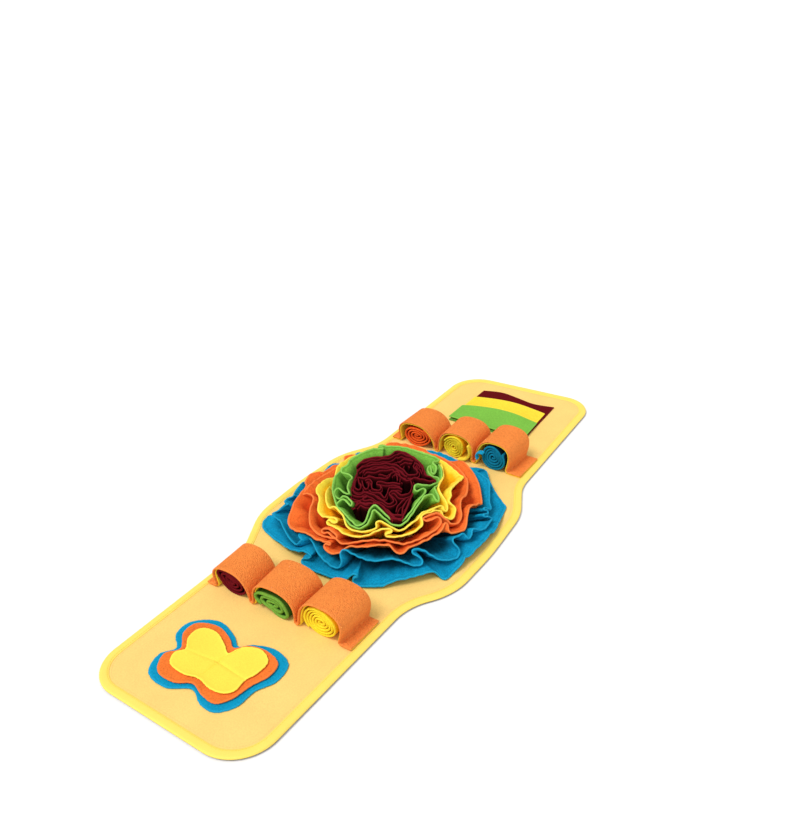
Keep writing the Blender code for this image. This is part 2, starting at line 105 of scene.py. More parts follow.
class Dye:
    """A socket in a cloth's material. Arithmetic on it adds Math nodes."""

    def __init__(self, tree, socket=None):
        self.tree = tree
        self.socket = socket

    def add(self, kind, settings=None, values=None, out=0):
        """Adds a node: its settings first, then the values or links of its sockets."""
        node = self.tree.nodes.new(kind)
        for name, value in (settings or {}).items():
            setattr(node, name, value)
        for name, value in (values or {}).items():
            if isinstance(value, Dye):
                self.tree.links.new(value.socket, node.inputs[name])
            else:
                node.inputs[name].default_value = value
        return Dye(self.tree, node.outputs[out])

    def maths(self, operation, first, second):
        return self.add("ShaderNodeMath", {"operation": operation}, {0: first, 1: second})

    def __add__(self, other):
        return self.maths("ADD", self, other)

    def __radd__(self, other):
        return self.maths("ADD", other, self)

    def __sub__(self, other):
        return self.maths("SUBTRACT", self, other)

    def __rsub__(self, other):
        return self.maths("SUBTRACT", other, self)

    def __mul__(self, other):
        return self.maths("MULTIPLY", self, other)

    def noise(self, place, size, detail, roughness=0.5):
        """Soft noise whose lumps are about size across."""
        settings = {"Vector": place, "Scale": 0.5 / size, "Detail": detail, "Roughness": roughness}
        return self.add("ShaderNodeTexNoise", None, settings, "Fac")

    def fade(self, value, start, end):
        """1 where the value is at its start, 0 from its end on, with soft shoulders."""
        values = {"Value": value, "From Min": start, "From Max": end, "To Min": 1.0, "To Max": 0.0}
        return self.add("ShaderNodeMapRange", {"interpolation_type": "SMOOTHSTEP"}, values, "Result")

    def blend(self, share, first, second):
        """One colour turning into another."""
        values = {"Factor": share, 6: first, 7: second}
        return self.add("ShaderNodeMix", {"data_type": "RGBA", "clamp_factor": True}, values, 2)


def tint(colour, factor):
    """The colour made darker or lighter, as a socket takes it."""
    return (*(min(1.0, channel * factor) for channel in colour), 1.0)


def new_material(name):
    material = bpy.data.materials.new(name)
    material.use_nodes = True
    return material, material.node_tree.nodes["Principled BSDF"]


def fleece(
    name, colour, pill, relief, mottle, rim=0.0, fluff_highlight_colour=None, fluff_highlight_width=2.2 * MM,
    shade_colour=None, shade_from=0.0, shade_to=0.0, sheen=0.08, pebbles=0.0, shade_line=0.0,
):
    """Brushed polyester fleece: a matt pile in small pills, a little uneven in colour, whose
    cut edges are lighter, partly fluffed pile and partly painted highlight, with a line of painted
    shade just inside them, and whose colour turns darker as painted shade where its attribute edge grows."""
    material, shader = new_material(name)
    dye = Dye(material.node_tree)
    place = dye.add("ShaderNodeTexCoord", out="Object")
    pills = dye.noise(place, pill, 3.0, 0.6)
    clouds = dye.noise(place, CLOUD_SIZE * pill, 2.0)
    tone = 0.5 + (pills - 0.5) * PILL_TONE + (clouds - 0.5) * CLOUD_TONE
    height = pills + clouds * CLOUD_RELIEF
    if pebbles:
        spacing = {"Vector": place, "Scale": PEBBLE_COUNT / pill}
        cells = dye.add("ShaderNodeTexVoronoi", None, spacing, "Distance")
        tone = tone - (cells - PEBBLE_TONE) * pebbles
        height = height - cells * PEBBLE_RELIEF
    cloth_colour = dye.blend(tone, tint(colour, 1 - mottle), tint(colour, 1 + mottle))
    if rim or shade_colour:
        edge = dye.add("ShaderNodeAttribute", {"attribute_name": "edge"}, out="Fac")
    # Painted shade: the colour darkens as the attribute edge grows.
    if shade_colour:
        cloth_colour = dye.blend(dye.fade(edge, shade_from, shade_to), tint(shade_colour, 1.0), cloth_colour)
    # Painted shade: a dark line a little inside the cut edge.
    if shade_line:
        line = dye.fade(edge, *SHADE_LINE_TO) * (1 - dye.fade(edge, *SHADE_LINE_FROM)) * shade_line
        cloth_colour = dye.blend(line, cloth_colour, tint(shade_colour, 1.0))
    # Partly fluffed pile, partly painted highlight: the cut edge is made lighter.
    if rim:
        fluff_highlight = dye.fade(edge, FLUFF_HIGHLIGHT_FROM, fluff_highlight_width) * rim
        pale = fluff_highlight_colour or tuple(PALE_EDGE * (0.98 * channel + 0.02) for channel in colour)
        cloth_colour = dye.blend(fluff_highlight, cloth_colour, tint(pale, 1.0))
    pile = {"Height": height, "Strength": relief, "Distance": pill}
    bumps = dye.add("ShaderNodeBump", None, pile, "Normal")
    rough = 0.88 + pills * 0.12
    for name, value in (("Base Color", cloth_colour), ("Roughness", rough), ("Normal", bumps)):
        dye.tree.links.new(value.socket, shader.inputs[name])
    shader.inputs["Specular IOR Level"].default_value = 0.06
    shader.inputs["Sheen Weight"].default_value = sheen
    shader.inputs["Sheen Roughness"].default_value = 0.6
    shader.inputs["Sheen Tint"].default_value = tint(colour, 1.4)
    return material


def rounded_outline(corners):
    """The outline of a polygon with each corner rounded to its own radius, anticlockwise."""
    outline = []
    for k, (x, y, radius) in enumerate(corners):
        corner = Vector((x, y)) * MM
        before = Vector(corners[k - 1][:2]) * MM
        after = Vector(corners[(k + 1) % len(corners)][:2]) * MM
        arriving = (corner - before).normalized()
        leaving = (after - corner).normalized()
        turn = math.atan2(arriving.cross(leaving), arriving.dot(leaving))
        tangent = radius * MM * math.tan(abs(turn) / 2)
        start = corner - arriving * tangent
        inward = Vector((-arriving.y, arriving.x)) * math.copysign(radius * MM, turn)
        steps = max(2, round(abs(turn) / CORNER_STEP))
        for step in range(steps + 1):
            spoke = Matrix.Rotation(turn * step / steps, 2) @ -inward
            outline.append(start + inward + spoke)
    return np.array([tuple(point) for point in outline])


def evenly(points, step, closed=True):
    """The same line with points at even distances of about a step."""
    if closed:
        points = np.vstack((points, points[:1]))
    lengths = np.linalg.norm(np.diff(points, axis=0), axis=1)
    along = np.concatenate(([0.0], np.cumsum(lengths)))
    count = max(2, round(along[-1] / step))
    places = np.linspace(0, along[-1], count + 1)
    if closed:
        places = places[:-1]
    return np.stack([np.interp(places, along, points[:, k]) for k in range(points.shape[1])], axis=1)


def leftward(along):
    """Directions turned a quarter to the left."""
    return np.stack((-along[:, 1], along[:, 0]), axis=1)


def inset(outline, distance):
    """A closed outline moved inward."""
    leaving = np.roll(outline, -1, axis=0) - outline
    leaving /= np.linalg.norm(leaving, axis=1, keepdims=True)
    along = leaving + np.roll(leaving, 1, axis=0)
    along /= np.linalg.norm(along, axis=1, keepdims=True)
    widening = 1 / np.sum(along * leaving, axis=1, keepdims=True)
    return outline + leftward(along) * distance * widening


def depth_inside(points, outline):
    """How far each point lies inside an outline."""
    spans = np.roll(outline, -1, axis=0) - outline
    best = np.full(len(points), np.inf)
    for start, span in zip(outline, spans):
        share = np.clip((points - start) @ span / (span @ span), 0, 1)
        off = points - start - share[:, None] * span
        best = np.minimum(best, np.einsum("ij,ij->i", off, off))
    return np.sqrt(best)


def soft_step(value, start, end):
    share = np.clip((value - start) / (end - start), 0, 1)
    return share * share * (3 - 2 * share)


def unit(vectors):
    return vectors / np.maximum(np.linalg.norm(vectors, axis=-1, keepdims=True), 1e-12)


def line_length(line):
    return float(np.linalg.norm(np.diff(line, axis=0), axis=1).sum())


def added(name, data):
    """A new object in the scene."""
    thing = bpy.data.objects.new(name, data)
    bpy.context.scene.collection.objects.link(thing)
    return thing


def normals(middle, around):
    """The directions in which the points of a cloth's grid, rows x columns, face."""
    if around:
        across = np.roll(middle, -1, axis=1) - np.roll(middle, 1, axis=1)
    else:
        across = np.gradient(middle, axis=1)
    return unit(np.cross(across, np.gradient(middle, axis=0)))


def two_faces(middle, thickness, around, free, sunk):
    """Points, faces and distances to the nearest free edge, with sunk added as painted shade, of a
    cloth about the grid of its middle surface: two faces that join in rounded edges."""
    rows, columns = middle.shape[:2]
    normal = normals(middle, around)
    half = np.broadcast_to(np.asarray(thickness) / 2, (rows, columns)).copy()
    steps = np.linalg.norm(np.diff(middle, axis=0), axis=2)
    from_start = np.vstack((np.zeros((1, columns)), np.cumsum(steps, axis=0)))
    edge = np.full((rows, columns), 1.0)
    if "end" in free:
        edge = np.minimum(edge, from_start[-1] - from_start)
    if "ends" in free:
        edge = np.minimum(edge, from_start)
    if "sides" in free and not around:
        steps = np.linalg.norm(np.diff(middle, axis=1), axis=2)
        from_side = np.hstack((np.zeros((rows, 1)), np.cumsum(steps, axis=1)))
        edge = np.minimum(edge, np.minimum(from_side, from_side[:, -1:] - from_side))
    # Painted shade: sunk adds to the distance, so the colour darkens there.
    edge = edge + sunk
    if not around:

        def flank(column, outward, turn):
            shifted = middle[:, column] + outward * half[:, column, None] * math.sin(turn)
            return shifted[:, None], half[:, column, None] * max(math.cos(turn), 0.0)

        first, last = unit(middle[:, 0] - middle[:, 1]), unit(middle[:, -1] - middle[:, -2])
        before = [flank(0, first, turn) for turn in EDGE_TURNS[1::-1]]
        after = [flank(-1, last, turn) for turn in EDGE_TURNS[:2]]
        middle = np.hstack((before[0][0], before[1][0], middle, after[0][0], after[1][0]))
        half = np.hstack((before[0][1], before[1][1], half, after[0][1], after[1][1]))
        normal = np.pad(normal, ((0, 0), (2, 2), (0, 0)), "edge")
        edge = np.pad(edge, ((0, 0), (2, 2)), "edge")
        columns += 4
    reach = half[..., None]
    rings = list(middle + normal * reach)
    edges = list(edge)

    def round_off(row, outward, turns):
        for turn in turns:
            spoke = math.cos(turn) * normal[row] + math.sin(turn) * outward
            rings.append(middle[row] + reach[row] * spoke)
            edges.append(edge[row])

    round_off(-1, unit(middle[-1] - middle[-2]), EDGE_TURNS)
    rings += list((middle - normal * reach)[::-1])
    edges += list(edge[::-1])
    round_off(0, unit(middle[0] - middle[1]), EDGE_TURNS[::-1])
    points = np.array(rings)
    index = np.arange(len(rings) * columns).reshape(-1, columns)
    below = np.roll(index, -1, axis=0)
    if around:
        right, below_right = np.roll(index, -1, axis=1), np.roll(below, -1, axis=1)
    else:
        index, right = index[:, :-1], index[:, 1:]
        below, below_right = below[:, :-1], below[:, 1:]
    faces = np.stack((index, right, below_right, below), axis=2).reshape(-1, 4)
    points = points.reshape(-1, 3)
    corners = points[faces]
    volume = np.einsum("ij,ij->", corners[:, 0], np.cross(corners[:, 1], corners[:, 2]))
    volume += np.einsum("ij,ij->", corners[:, 0], np.cross(corners[:, 2], corners[:, 3]))
    if volume < 0:
        faces = faces[:, ::-1]
    return points, faces, np.array(edges).reshape(-1)


def cloth(name, middle, thickness, material, around=False, free="ends sides", sunk=0.0):
    """A piece of cloth about a grid of points, or about several, each with its thickness. The
    attribute edge holds the distance to the nearest free edge, plus sunk, which paints shade. A
    cloth around closes on itself. Free says which of its edges are cut and loose."""
    grids = [(middle, thickness)] if isinstance(middle, np.ndarray) else middle
    points, faces, edges, count = [], [], [], 0
    for grid, thick in grids:
        part = two_faces(grid, thick, around, free, sunk)
        points.append(part[0])
        faces.append(part[1] + count)
        edges.append(part[2])
        count += len(part[0])
    mesh = bpy.data.meshes.new(name)
    mesh.from_pydata((np.vstack(points) + MAT_MIDDLE).tolist(), [], np.vstack(faces).tolist())
    layer = mesh.attributes.new("edge", "FLOAT", "POINT")
    layer.data.foreach_set("value", np.concatenate(edges).astype(np.float32))
    if not around:
        tidy = bmesh.new()
        tidy.from_mesh(mesh)
        bmesh.ops.remove_doubles(tidy, verts=tidy.verts, dist=1e-6)
        tidy.to_mesh(mesh)
        tidy.free()
    mesh.shade_smooth()
    mesh.materials.append(material)
    return added(name, mesh)


def sewn(piece, slot, node=None):
    """The piece belongs to the mat and stands for the plain solid named by node, which is hidden; the slot
    is not used.
    """
    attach(piece, "root")
    if node:
        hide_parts(node)


def surface(piece):
    """Half the surface of a thin closed piece: the area of its cloth."""
    return sum(face.area for face in piece.data.polygons) / 2


def swell(x, y, size, seed):
    """Gentle unevenness between -1 and 1 over a plane."""
    chance = np.random.default_rng(seed)
    total = np.zeros(np.broadcast(x, y).shape)
    for _ in range(SWELL_WAVES):
        bearing, phase = chance.uniform(0, 2 * math.pi, 2)
        wave = 2 * math.pi / (size * chance.uniform(0.7, 1.6))
        total += np.sin(wave * (x * math.cos(bearing) + y * math.sin(bearing)) + phase)
    return total / SWELL_CALM


panel_outline = evenly(rounded_outline(PANEL_CORNERS), OUTLINE_STEP)
panel_edge = inset(panel_outline, PANEL_RIM)
turning = np.argmin(panel_edge[:, 0])
panel_edge = np.roll(panel_edge, -turning, axis=0)
turning = np.argmax(panel_edge[:, 0])
near_side, far_side = panel_edge[: turning + 1], np.vstack((panel_edge[turning:], panel_edge[:1]))[::-1]
first, last = panel_edge[:, 0].min() + PANEL_TIP, panel_edge[:, 0].max() - PANEL_TIP
panel_x = np.linspace(first, last, PANEL_COLUMNS)
low = np.interp(panel_x, near_side[:, 0], near_side[:, 1])
high = np.interp(panel_x, far_side[:, 0], far_side[:, 1])
share = np.linspace(0, 1, PANEL_ROWS)[:, None]
panel_y = low + (high - low) * share
panel_x = np.broadcast_to(panel_x, panel_y.shape)
inside = depth_inside(np.stack((panel_x, panel_y), axis=2).reshape(-1, 2), panel_outline)
inside = inside.reshape(panel_y.shape)
panel_height = PANEL_PRESSED + (PANEL_THICKNESS - PANEL_PRESSED) * soft_step(inside, *TOP_SLOPE)
uneven = PANEL_SWELL * swell(panel_x, panel_y, PANEL_SWELL_SIZE, seed=4)
panel_height += uneven * soft_step(inside, *SWELL_SLOPE)
panel_low = PANEL_LIFTED * (1 - soft_step(inside, *UNDER_SLOPE))
panel_middle = np.stack((panel_x, panel_y, (panel_height + panel_low) / 2), axis=2)
base_fleece = fleece("cream fleece", CREAM, pill=0.9 * MM, relief=0.3, mottle=0.075, sheen=0.1)
panel = cloth("panel_cloth", panel_middle, panel_height - panel_low, base_fleece, free="")
sewn(panel, "cream_fleece", "base_panel")

# ---------------------------------------------------------------------------------------------
# Binding: a lemon tape folded over the panel's edge all the way round and sewn through with one
# row of machine stitches near its inner edge, which draws it into faint puckers.
# ---------------------------------------------------------------------------------------------

LEMON = (0.980, 0.700, 0.140)
LEMON_THREAD = (0.900, 0.640, 0.050)
TAPE_PAINTED_SHADOW = (0.150, 0.075, 0.015)
TAPE_WIDTH = 10.0 * MM
TAPE_TOP = 4.0 * MM
TAPE_THICKNESS = 1.0 * MM
TAPE_BEND = 1.5 * MM  # radius of its middle line round the edge
TAPE_PUFF = 0.15 * MM
TAPE_DROP = 0.45 * MM  # how far its inner edge comes down beyond the stitches
TAPE_GRIP = 0.6 * MM  # how far outside the stitches it begins to come down
TAPE_SHADOW_HEIGHTS = (2.0 * MM, 0.9 * MM)  # heights up the tape where its painted shadow begins and where it is full
TAPE_STEP = 2.2 * MM
TAPE_POINTS = (5, 9, 9)  # across its underside, round the edge and across its top
TAPE_SEAM = 8.4 * MM  # from the outer edge to the stitches
BACKING_SEAM = 13.0 * MM  # a second row, through the panel alone
SEAM_STEP = 2.0 * MM
STITCH_PITCH = 3.2 * MM
STITCH_LENGTH = 2.4 * MM
STITCH_THREAD = 0.5 * MM
PUCKER = 0.10 * MM
PUCKER_SIZE = 5  # in steps of the tape
PUCKER_SLOPE = (1.5 * MM, 3.2 * MM)  # heights between which the puckers grow
RIPPLE_WAVES = 9
CREAM_THREAD = tuple(channel * 0.86 for channel in CREAM)
THREAD_PROUD = 0.06 * MM  # how far the stitches' middle stands above the tape
THREAD_SUNK = 0.05 * MM  # how far it lies from the top of the panel and of the pockets


def ripple(count, cycles, spread, seed):
    """A closed line of smooth random waves between -1 and 1, about so many cycles to the round,
    more or fewer by up to the share spread."""
    chance = np.random.default_rng(seed)
    turn = np.linspace(0, 2 * math.pi, count, endpoint=False)
    total = np.zeros(count)
    for _ in range(RIPPLE_WAVES):
        wave = max(1, round(cycles * (1 + spread * chance.uniform(-1, 1))))
        total += chance.uniform(0.5, 1) * np.sin(wave * turn + chance.uniform(0, 2 * math.pi))
    return total / (RIPPLE_WAVES / 2)


def stitch_tree():
    """Lays a stitch at even steps along a line, lying along it."""
    tree = bpy.data.node_groups.new("stitch row", "GeometryNodeTree")
    tree.interface.new_socket("Line", in_out="INPUT", socket_type="NodeSocketGeometry")
    tree.interface.new_socket("Stitches", in_out="OUTPUT", socket_type="NodeSocketGeometry")
    new, link = tree.nodes.new, tree.links.new
    start = new("NodeGroupInput")
    end = new("NodeGroupOutput")
    steps = new("GeometryNodeCurveToPoints")
    steps.mode = "LENGTH"
    steps.inputs["Length"].default_value = STITCH_PITCH
    stitch = new("GeometryNodeMeshUVSphere")
    stitch.inputs["Segments"].default_value = 6
    stitch.inputs["Rings"].default_value = 5
    stitch.inputs["Radius"].default_value = 0.5
    laid = new("GeometryNodeInstanceOnPoints")
    laid.inputs["Scale"].default_value = (STITCH_THREAD, STITCH_THREAD, STITCH_LENGTH)
    real = new("GeometryNodeRealizeInstances")
    link(start.outputs["Line"], steps.inputs["Curve"])
    link(steps.outputs["Points"], laid.inputs["Points"])
    link(steps.outputs["Rotation"], laid.inputs["Rotation"])
    link(stitch.outputs["Mesh"], laid.inputs["Instance"])
    link(laid.outputs["Instances"], real.inputs["Geometry"])
    link(real.outputs["Geometry"], end.inputs["Stitches"])
    return tree


def stitches(name, lines, finish, slot, closed=False):
    """Rows of machine stitches along lines of points in the mat's own place."""
    curve = bpy.data.curves.new(name, "CURVE")
    curve.dimensions = "3D"
    for line in lines:
        spline = curve.splines.new("POLY")
        spline.points.add(len(line) - 1)
        for point, spot in zip(spline.points, line + MAT_MIDDLE):
            point.co = (*spot, 1.0)
        spline.use_cyclic_u = closed
    guide = added(name + "_line", curve)
    guide.modifiers.new("stitches", "NODES").node_group = stitch_row
    graph = bpy.context.evaluated_depsgraph_get()
    mesh = bpy.data.meshes.new_from_object(guide.evaluated_get(graph), depsgraph=graph)
    bpy.data.objects.remove(guide)
    mesh.name = name
    mesh.shade_smooth()
    mesh.materials.clear()
    mesh.materials.append(finish)
    sewn(added(name, mesh), slot)


def thread(name, colour):
    """Twisted sewing thread with a slight gloss."""
    material, shader = new_material(name)
    dye = Dye(material.node_tree)
    place = dye.add("ShaderNodeTexCoord", out="Object")
    twist = dye.noise(place, STITCH_THREAD, 1.0)
    shade = dye.blend(twist, tint(colour, 0.8), tint(colour, 1.15))
    material.node_tree.links.new(shade.socket, shader.inputs["Base Color"])
    shader.inputs["Roughness"].default_value = 0.5
    return material


def tape_profile():
    """Middle line of the tape's section: inset from its outer edge and height, underside first."""
    middle = TAPE_TOP / 2
    bend_middle = TAPE_THICKNESS / 2 + TAPE_BEND
    flat = TAPE_WIDTH - bend_middle
    under, bend, top = TAPE_POINTS
    profile = [(TAPE_WIDTH - step, TAPE_THICKNESS / 2) for step in np.linspace(0, flat, under)]
    for angle in np.linspace(0, math.pi, bend)[1:-1]:
        profile.append((bend_middle - TAPE_BEND * math.sin(angle), middle - TAPE_BEND * math.cos(angle)))
    for step in np.linspace(0, flat, top):
        reach = bend_middle + step
        puff = TAPE_PUFF * math.sin(math.pi * min(step / (TAPE_SEAM - bend_middle), 1.0))
        drop = TAPE_DROP * soft_step(reach, TAPE_SEAM - TAPE_GRIP, TAPE_WIDTH)
        profile.append((reach, TAPE_TOP - TAPE_THICKNESS / 2 + puff - drop))
    return profile


def seam_round(distance, height):
    """The line of a row of stitches all round the mat."""
    line = inset(evenly(panel_outline, SEAM_STEP), distance)
    return np.column_stack((line, np.full(len(line), height)))


tape_line = evenly(panel_outline, TAPE_STEP)
puckers = PUCKER * ripple(len(tape_line), len(tape_line) / PUCKER_SIZE, spread=0.5, seed=11)
tape_rows = [
    np.column_stack((inset(tape_line, distance), height + puckers * soft_step(height, *PUCKER_SLOPE)))
    for distance, height in tape_profile()
]
# Painted shadow: the tape turns dark brown low down, round the lower half of its bend and underneath.
tape_fabric = fleece(
    "lemon tape", LEMON, pill=0.5 * MM, relief=0.15, mottle=0.05, sheen=0.15, shade_colour=TAPE_PAINTED_SHADOW,
    shade_from=TAPE_TOP - TAPE_SHADOW_HEIGHTS[0], shade_to=TAPE_TOP - TAPE_SHADOW_HEIGHTS[1],
)
tape = cloth("binding_tape", np.array(tape_rows), TAPE_THICKNESS, tape_fabric, around=True, free="")
# The attribute edge holds the depth below the tape's top, which sets the painted shadow.
below_top = [TAPE_TOP - point.co.z for point in tape.data.vertices]
tape.data.attributes["edge"].data.foreach_set("value", below_top)
sewn(tape, "lemon_tape", "edge_binding")
stitch_row = stitch_tree()
lemon_thread = thread("lemon thread", LEMON_THREAD)
tape_seam = seam_round(TAPE_SEAM, TAPE_TOP + THREAD_PROUD)
stitches("binding_stitches", [tape_seam], lemon_thread, "lemon_tape", closed=True)
cream_thread = thread("cream thread", CREAM_THREAD)
backing_seam = seam_round(BACKING_SEAM, PANEL_THICKNESS - THREAD_SUNK)
stitches("panel_stitches", [backing_seam], cream_thread, "cream_fleece", closed=True)

# ---------------------------------------------------------------------------------------------
# Butterfly: three cut layers of thin fleece, blue, orange and yellow, each smaller than the one
# below, laid on each other and sewn through the middle.
# ---------------------------------------------------------------------------------------------

BLUE = (0.004, 0.275, 0.480)
ORANGE = (0.830, 0.160, 0.028)
YELLOW = (0.960, 0.655, 0.045)
WING_ORANGE = (0.775, 0.170, 0.029)
WING_YELLOW = (0.965, 0.700, 0.075)
WING_MOTTLE = (0.24, 0.22, 0.05)
BUTTERFLY_CLOTH = 1.7 * MM
BUTTERFLY_MIDDLE = np.array((-313.0, -2.0)) * MM
BUTTERFLY_STEPS = 12
BUTTERFLY_RINGS = 22
BUTTERFLY_HEART = 0.006  # the innermost ring, as a share of the outline
EDGE_SPRING = (0.1 * MM, 1.1 * MM, 1.5 * MM)  # how far each layer springs up at its edge
WING_WOBBLE = 0.35 * MM  # how unevenly it is cut
WOBBLE_WAVES = 60
WING_ARCH = 0.35 * MM  # how far it stands off halfway out
WING_SWELL = 0.25 * MM
WING_SWELL_SIZE = 40.0 * MM
CREASE_WIDTH = 1.8 * MM

# Outlines in millimetres, along and across the mat, lowest first
BUTTERFLY = {
    "butterfly_blue": (BLUE, (
        (-273, 61), (-265, 40), (-274, 12), (-283, -2), (-273, -13), (-265, -38), (-274, -64),
        (-298, -69), (-320, -59), (-345, -57), (-362, -43), (-362, -24), (-352, -3),
        (-365, 23), (-360, 53), (-335, 63), (-320, 54), (-305, 70), (-287, 72),
    )),
    "butterfly_orange": (WING_ORANGE, (
        (-277, 51), (-274, 33), (-281, 12), (-289, -1), (-278, -13), (-273.5, -33), (-281, -56),
        (-298, -60), (-318, -53), (-342, -48), (-355, -38), (-354, -19), (-348, 0),
        (-357, 18), (-355, 44), (-334, 56), (-320, 47), (-301, 62), (-285, 62),
    )),
    "butterfly_yellow": (WING_YELLOW, (
        (-285, 45), (-283, 29), (-292, 9), (-299, -3), (-285, -10), (-277, -29), (-286, -47),
        (-306, -48), (-317, -44), (-334, -45), (-342, -38), (-345, -22), (-341, -1),
        (-345, 16), (-341, 40), (-328, 46), (-319, 40), (-305, 50), (-292, 51),
    )),
}
# Where the creases of the top layer end and how deep each is
BUTTERFLY_CREASES = ((-299, -3, 1.7), (-341, -1, 1.7), (-319, 40, 0.8), (-317, -44, 1.2))


def smooth_loop(points, steps):
    """A closed centripetal Catmull-Rom curve through the points, with steps to each span."""
    curve = []
    points = [Vector(point) for point in points]
    for k, start in enumerate(points):
        before = points[k - 1]
        end = points[(k + 1) % len(points)]
        after = points[(k + 2) % len(points)]
        d0 = math.sqrt((start - before).length)
        d1 = math.sqrt((end - start).length)
        d2 = math.sqrt((after - end).length)
        leave = d1 * ((start - before) / d0 - (end - before) / (d0 + d1) + (end - start) / d1)
        arrive = d1 * ((end - start) / d1 - (after - start) / (d1 + d2) + (after - end) / d2)
        curve += interpolate_bezier(start, start + leave / 3, end - arrive / 3, end, steps + 1)[:-1]
    return np.array([tuple(point) for point in curve])


def crease(x, y, start, end, width):
    """1 on a line between two points, fading to 0 beside it and at its far end."""
    span = end - start
    share = np.clip(((x - start[0]) * span[0] + (y - start[1]) * span[1]) / (span @ span), 0, 1)
    off = np.hypot(x - start[0] - share * span[0], y - start[1] - share * span[1])
    return np.exp(-((off / width) ** 2)) * (1 - 0.5 * share)


for layer, (name, (colour, corners)) in enumerate(BUTTERFLY.items()):
    edge_line = smooth_loop([np.array(corner) * MM for corner in corners], BUTTERFLY_STEPS)
    wobble = WING_WOBBLE * ripple(len(edge_line), WOBBLE_WAVES, spread=0.5, seed=20 + layer)
    edge_line = inset(edge_line, wobble[:, None])
    shares = np.linspace(BUTTERFLY_HEART, 1, BUTTERFLY_RINGS) ** 0.8
    plan = BUTTERFLY_MIDDLE + (edge_line - BUTTERFLY_MIDDLE) * shares[:, None, None]
    x, y = plan[..., 0], plan[..., 1]
    height = PANEL_THICKNESS + GAP + BUTTERFLY_CLOTH / 2 + layer * (BUTTERFLY_CLOTH + GAP)
    height = height + EDGE_SPRING[layer] * shares[:, None] ** 6
    rise = WING_ARCH * np.sin(math.pi * shares)[:, None]
    rise = rise + WING_SWELL * swell(x, y, WING_SWELL_SIZE, seed=30 + layer) * shares[:, None]
    if layer == 2:
        folds = [
            depth * MM * crease(x, y, BUTTERFLY_MIDDLE, np.array(notch) * MM, CREASE_WIDTH)
            for *notch, depth in BUTTERFLY_CREASES
        ]
        rise = rise - np.max(folds, axis=0)
    middle = np.dstack((plan, height + rise))
    word = name.split("_")[1]
    material = fleece(
        f"butterfly {word} fleece", colour, pill=0.9 * MM, relief=0.4, mottle=WING_MOTTLE[layer], rim=0.3,
    )
    wing = cloth(name + "_cloth", middle, BUTTERFLY_CLOTH, material, around=True, free="end")
    sewn(wing, word + "_fleece", name)
    size = edge_line.max(axis=0) - edge_line.min(axis=0)

# ---------------------------------------------------------------------------------------------
# Pockets: three stacked flaps of fleece, burgundy under yellow under green, sewn down together
# along the edge nearer the loops and down both sides, so each opens towards the end of the mat.
# ---------------------------------------------------------------------------------------------

BURGUNDY = (0.068, 0.0024, 0.0046)
POCKET_BURGUNDY = (0.112, 0.0028, 0.0048)
GREEN = (0.190, 0.475, 0.060)
# Lighter cut edge of the burgundy pocket: fluffed pile and painted highlight.
BURGUNDY_RIM = (0.210, 0.010, 0.016)
# Painted shade: the turned hem is the green fleece made darker.
SHADED_HEM_GREEN = tuple(channel * 0.62 for channel in GREEN)
GREEN_THREAD = tuple(channel * 0.8 for channel in GREEN)
POCKET_CLOTH = 1.6 * MM
POCKET_LOW = PANEL_THICKNESS + GAP + POCKET_CLOTH / 2  # height of the lowest flap's middle surface
POCKET_SWELL = 0.25 * MM
POCKET_SWELL_SIZE = 45.0 * MM
POCKET_SEAMS = (262.0, 260.5, 252.0)  # where each flap begins along the mat, in millimetres
POCKET_COLUMNS = 60
POCKET_ROWS = 34

# Colour, left side, right side at the seam and at the open edge, reach of the open edge at its
# left, middle and right, bulge, waviness, in millimetres
POCKETS = {
    "pocket_burgundy": (POCKET_BURGUNDY, 58.0, -65.0, -61.5, 355, 357, 361, 1.5, 5.5),
    "pocket_yellow": (YELLOW, 58.5, -63.5, -59.5, 327, 336, 333, 2.5, 0.0),
    "pocket_green": (GREEN, 60.0, -66.2, -63.3, 291, 302, 299, 3.5, 0.0),
}
# The green flap's turned hem: from where to where it reaches across the mat and along it
HEM_SIDES = (59.0 * MM, -65.0 * MM)
HEM_REACH = (249.4 * MM, 261.4 * MM)
HEM_HEIGHT = 4.2 * MM
HEM_SWELL = 0.15 * MM
HEM_SWELL_SIZE = 30.0 * MM
HEM_CLOTH = 1.2 * MM
HEM_ROWS = 5
# Rows of stitches on the green flap: from where to where, along and across the mat, in points
POCKET_STITCHES = (
    ((255, 57), (255, -63), 40), ((255, 57), (288, 57), 20), ((255, -63), (296, -60.5), 20),
)

for layer, (name, (colour, side, sewn_side, open_side, *opening)) in enumerate(POCKETS.items()):
    left, middle_reach, right, bulge, waves = opening
    v = np.linspace(0, 1, POCKET_COLUMNS)[None, :]
    u = np.linspace(0, 1, POCKET_ROWS)[:, None]
    arch = np.sin(math.pi * v)
    reach = left + (right - left) * v + (middle_reach - (left + right) / 2) * arch
    reach = reach + waves * np.sin(2 * math.pi * v)
    sewn_at = POCKET_SEAMS[layer]
    x = (sewn_at + (reach - sewn_at) * u) * MM
    y = (side + (sewn_side + (open_side - sewn_side) * u - side) * v) * MM
    height = POCKET_LOW + layer * (POCKET_CLOTH + GAP) + bulge * MM * arch * u * u
    height = height + POCKET_SWELL * swell(x, y, POCKET_SWELL_SIZE, seed=40 + layer)
    word = name.split("_")[1]
    material = fleece(
        f"pocket {word} fleece", colour, pill=1.1 * MM, relief=0.4, mottle=0.13, rim=0.25,
        fluff_highlight_colour=BURGUNDY_RIM if word == "burgundy" else None,
    )
    flap = cloth(name + "_cloth", np.dstack((x, y, height)), POCKET_CLOTH, material)
    sewn(flap, word + "_fleece", name)
    size = (float(np.ptp(y)), float(np.ptp(x)))
    area = min(surface(flap), size[0] * size[1])

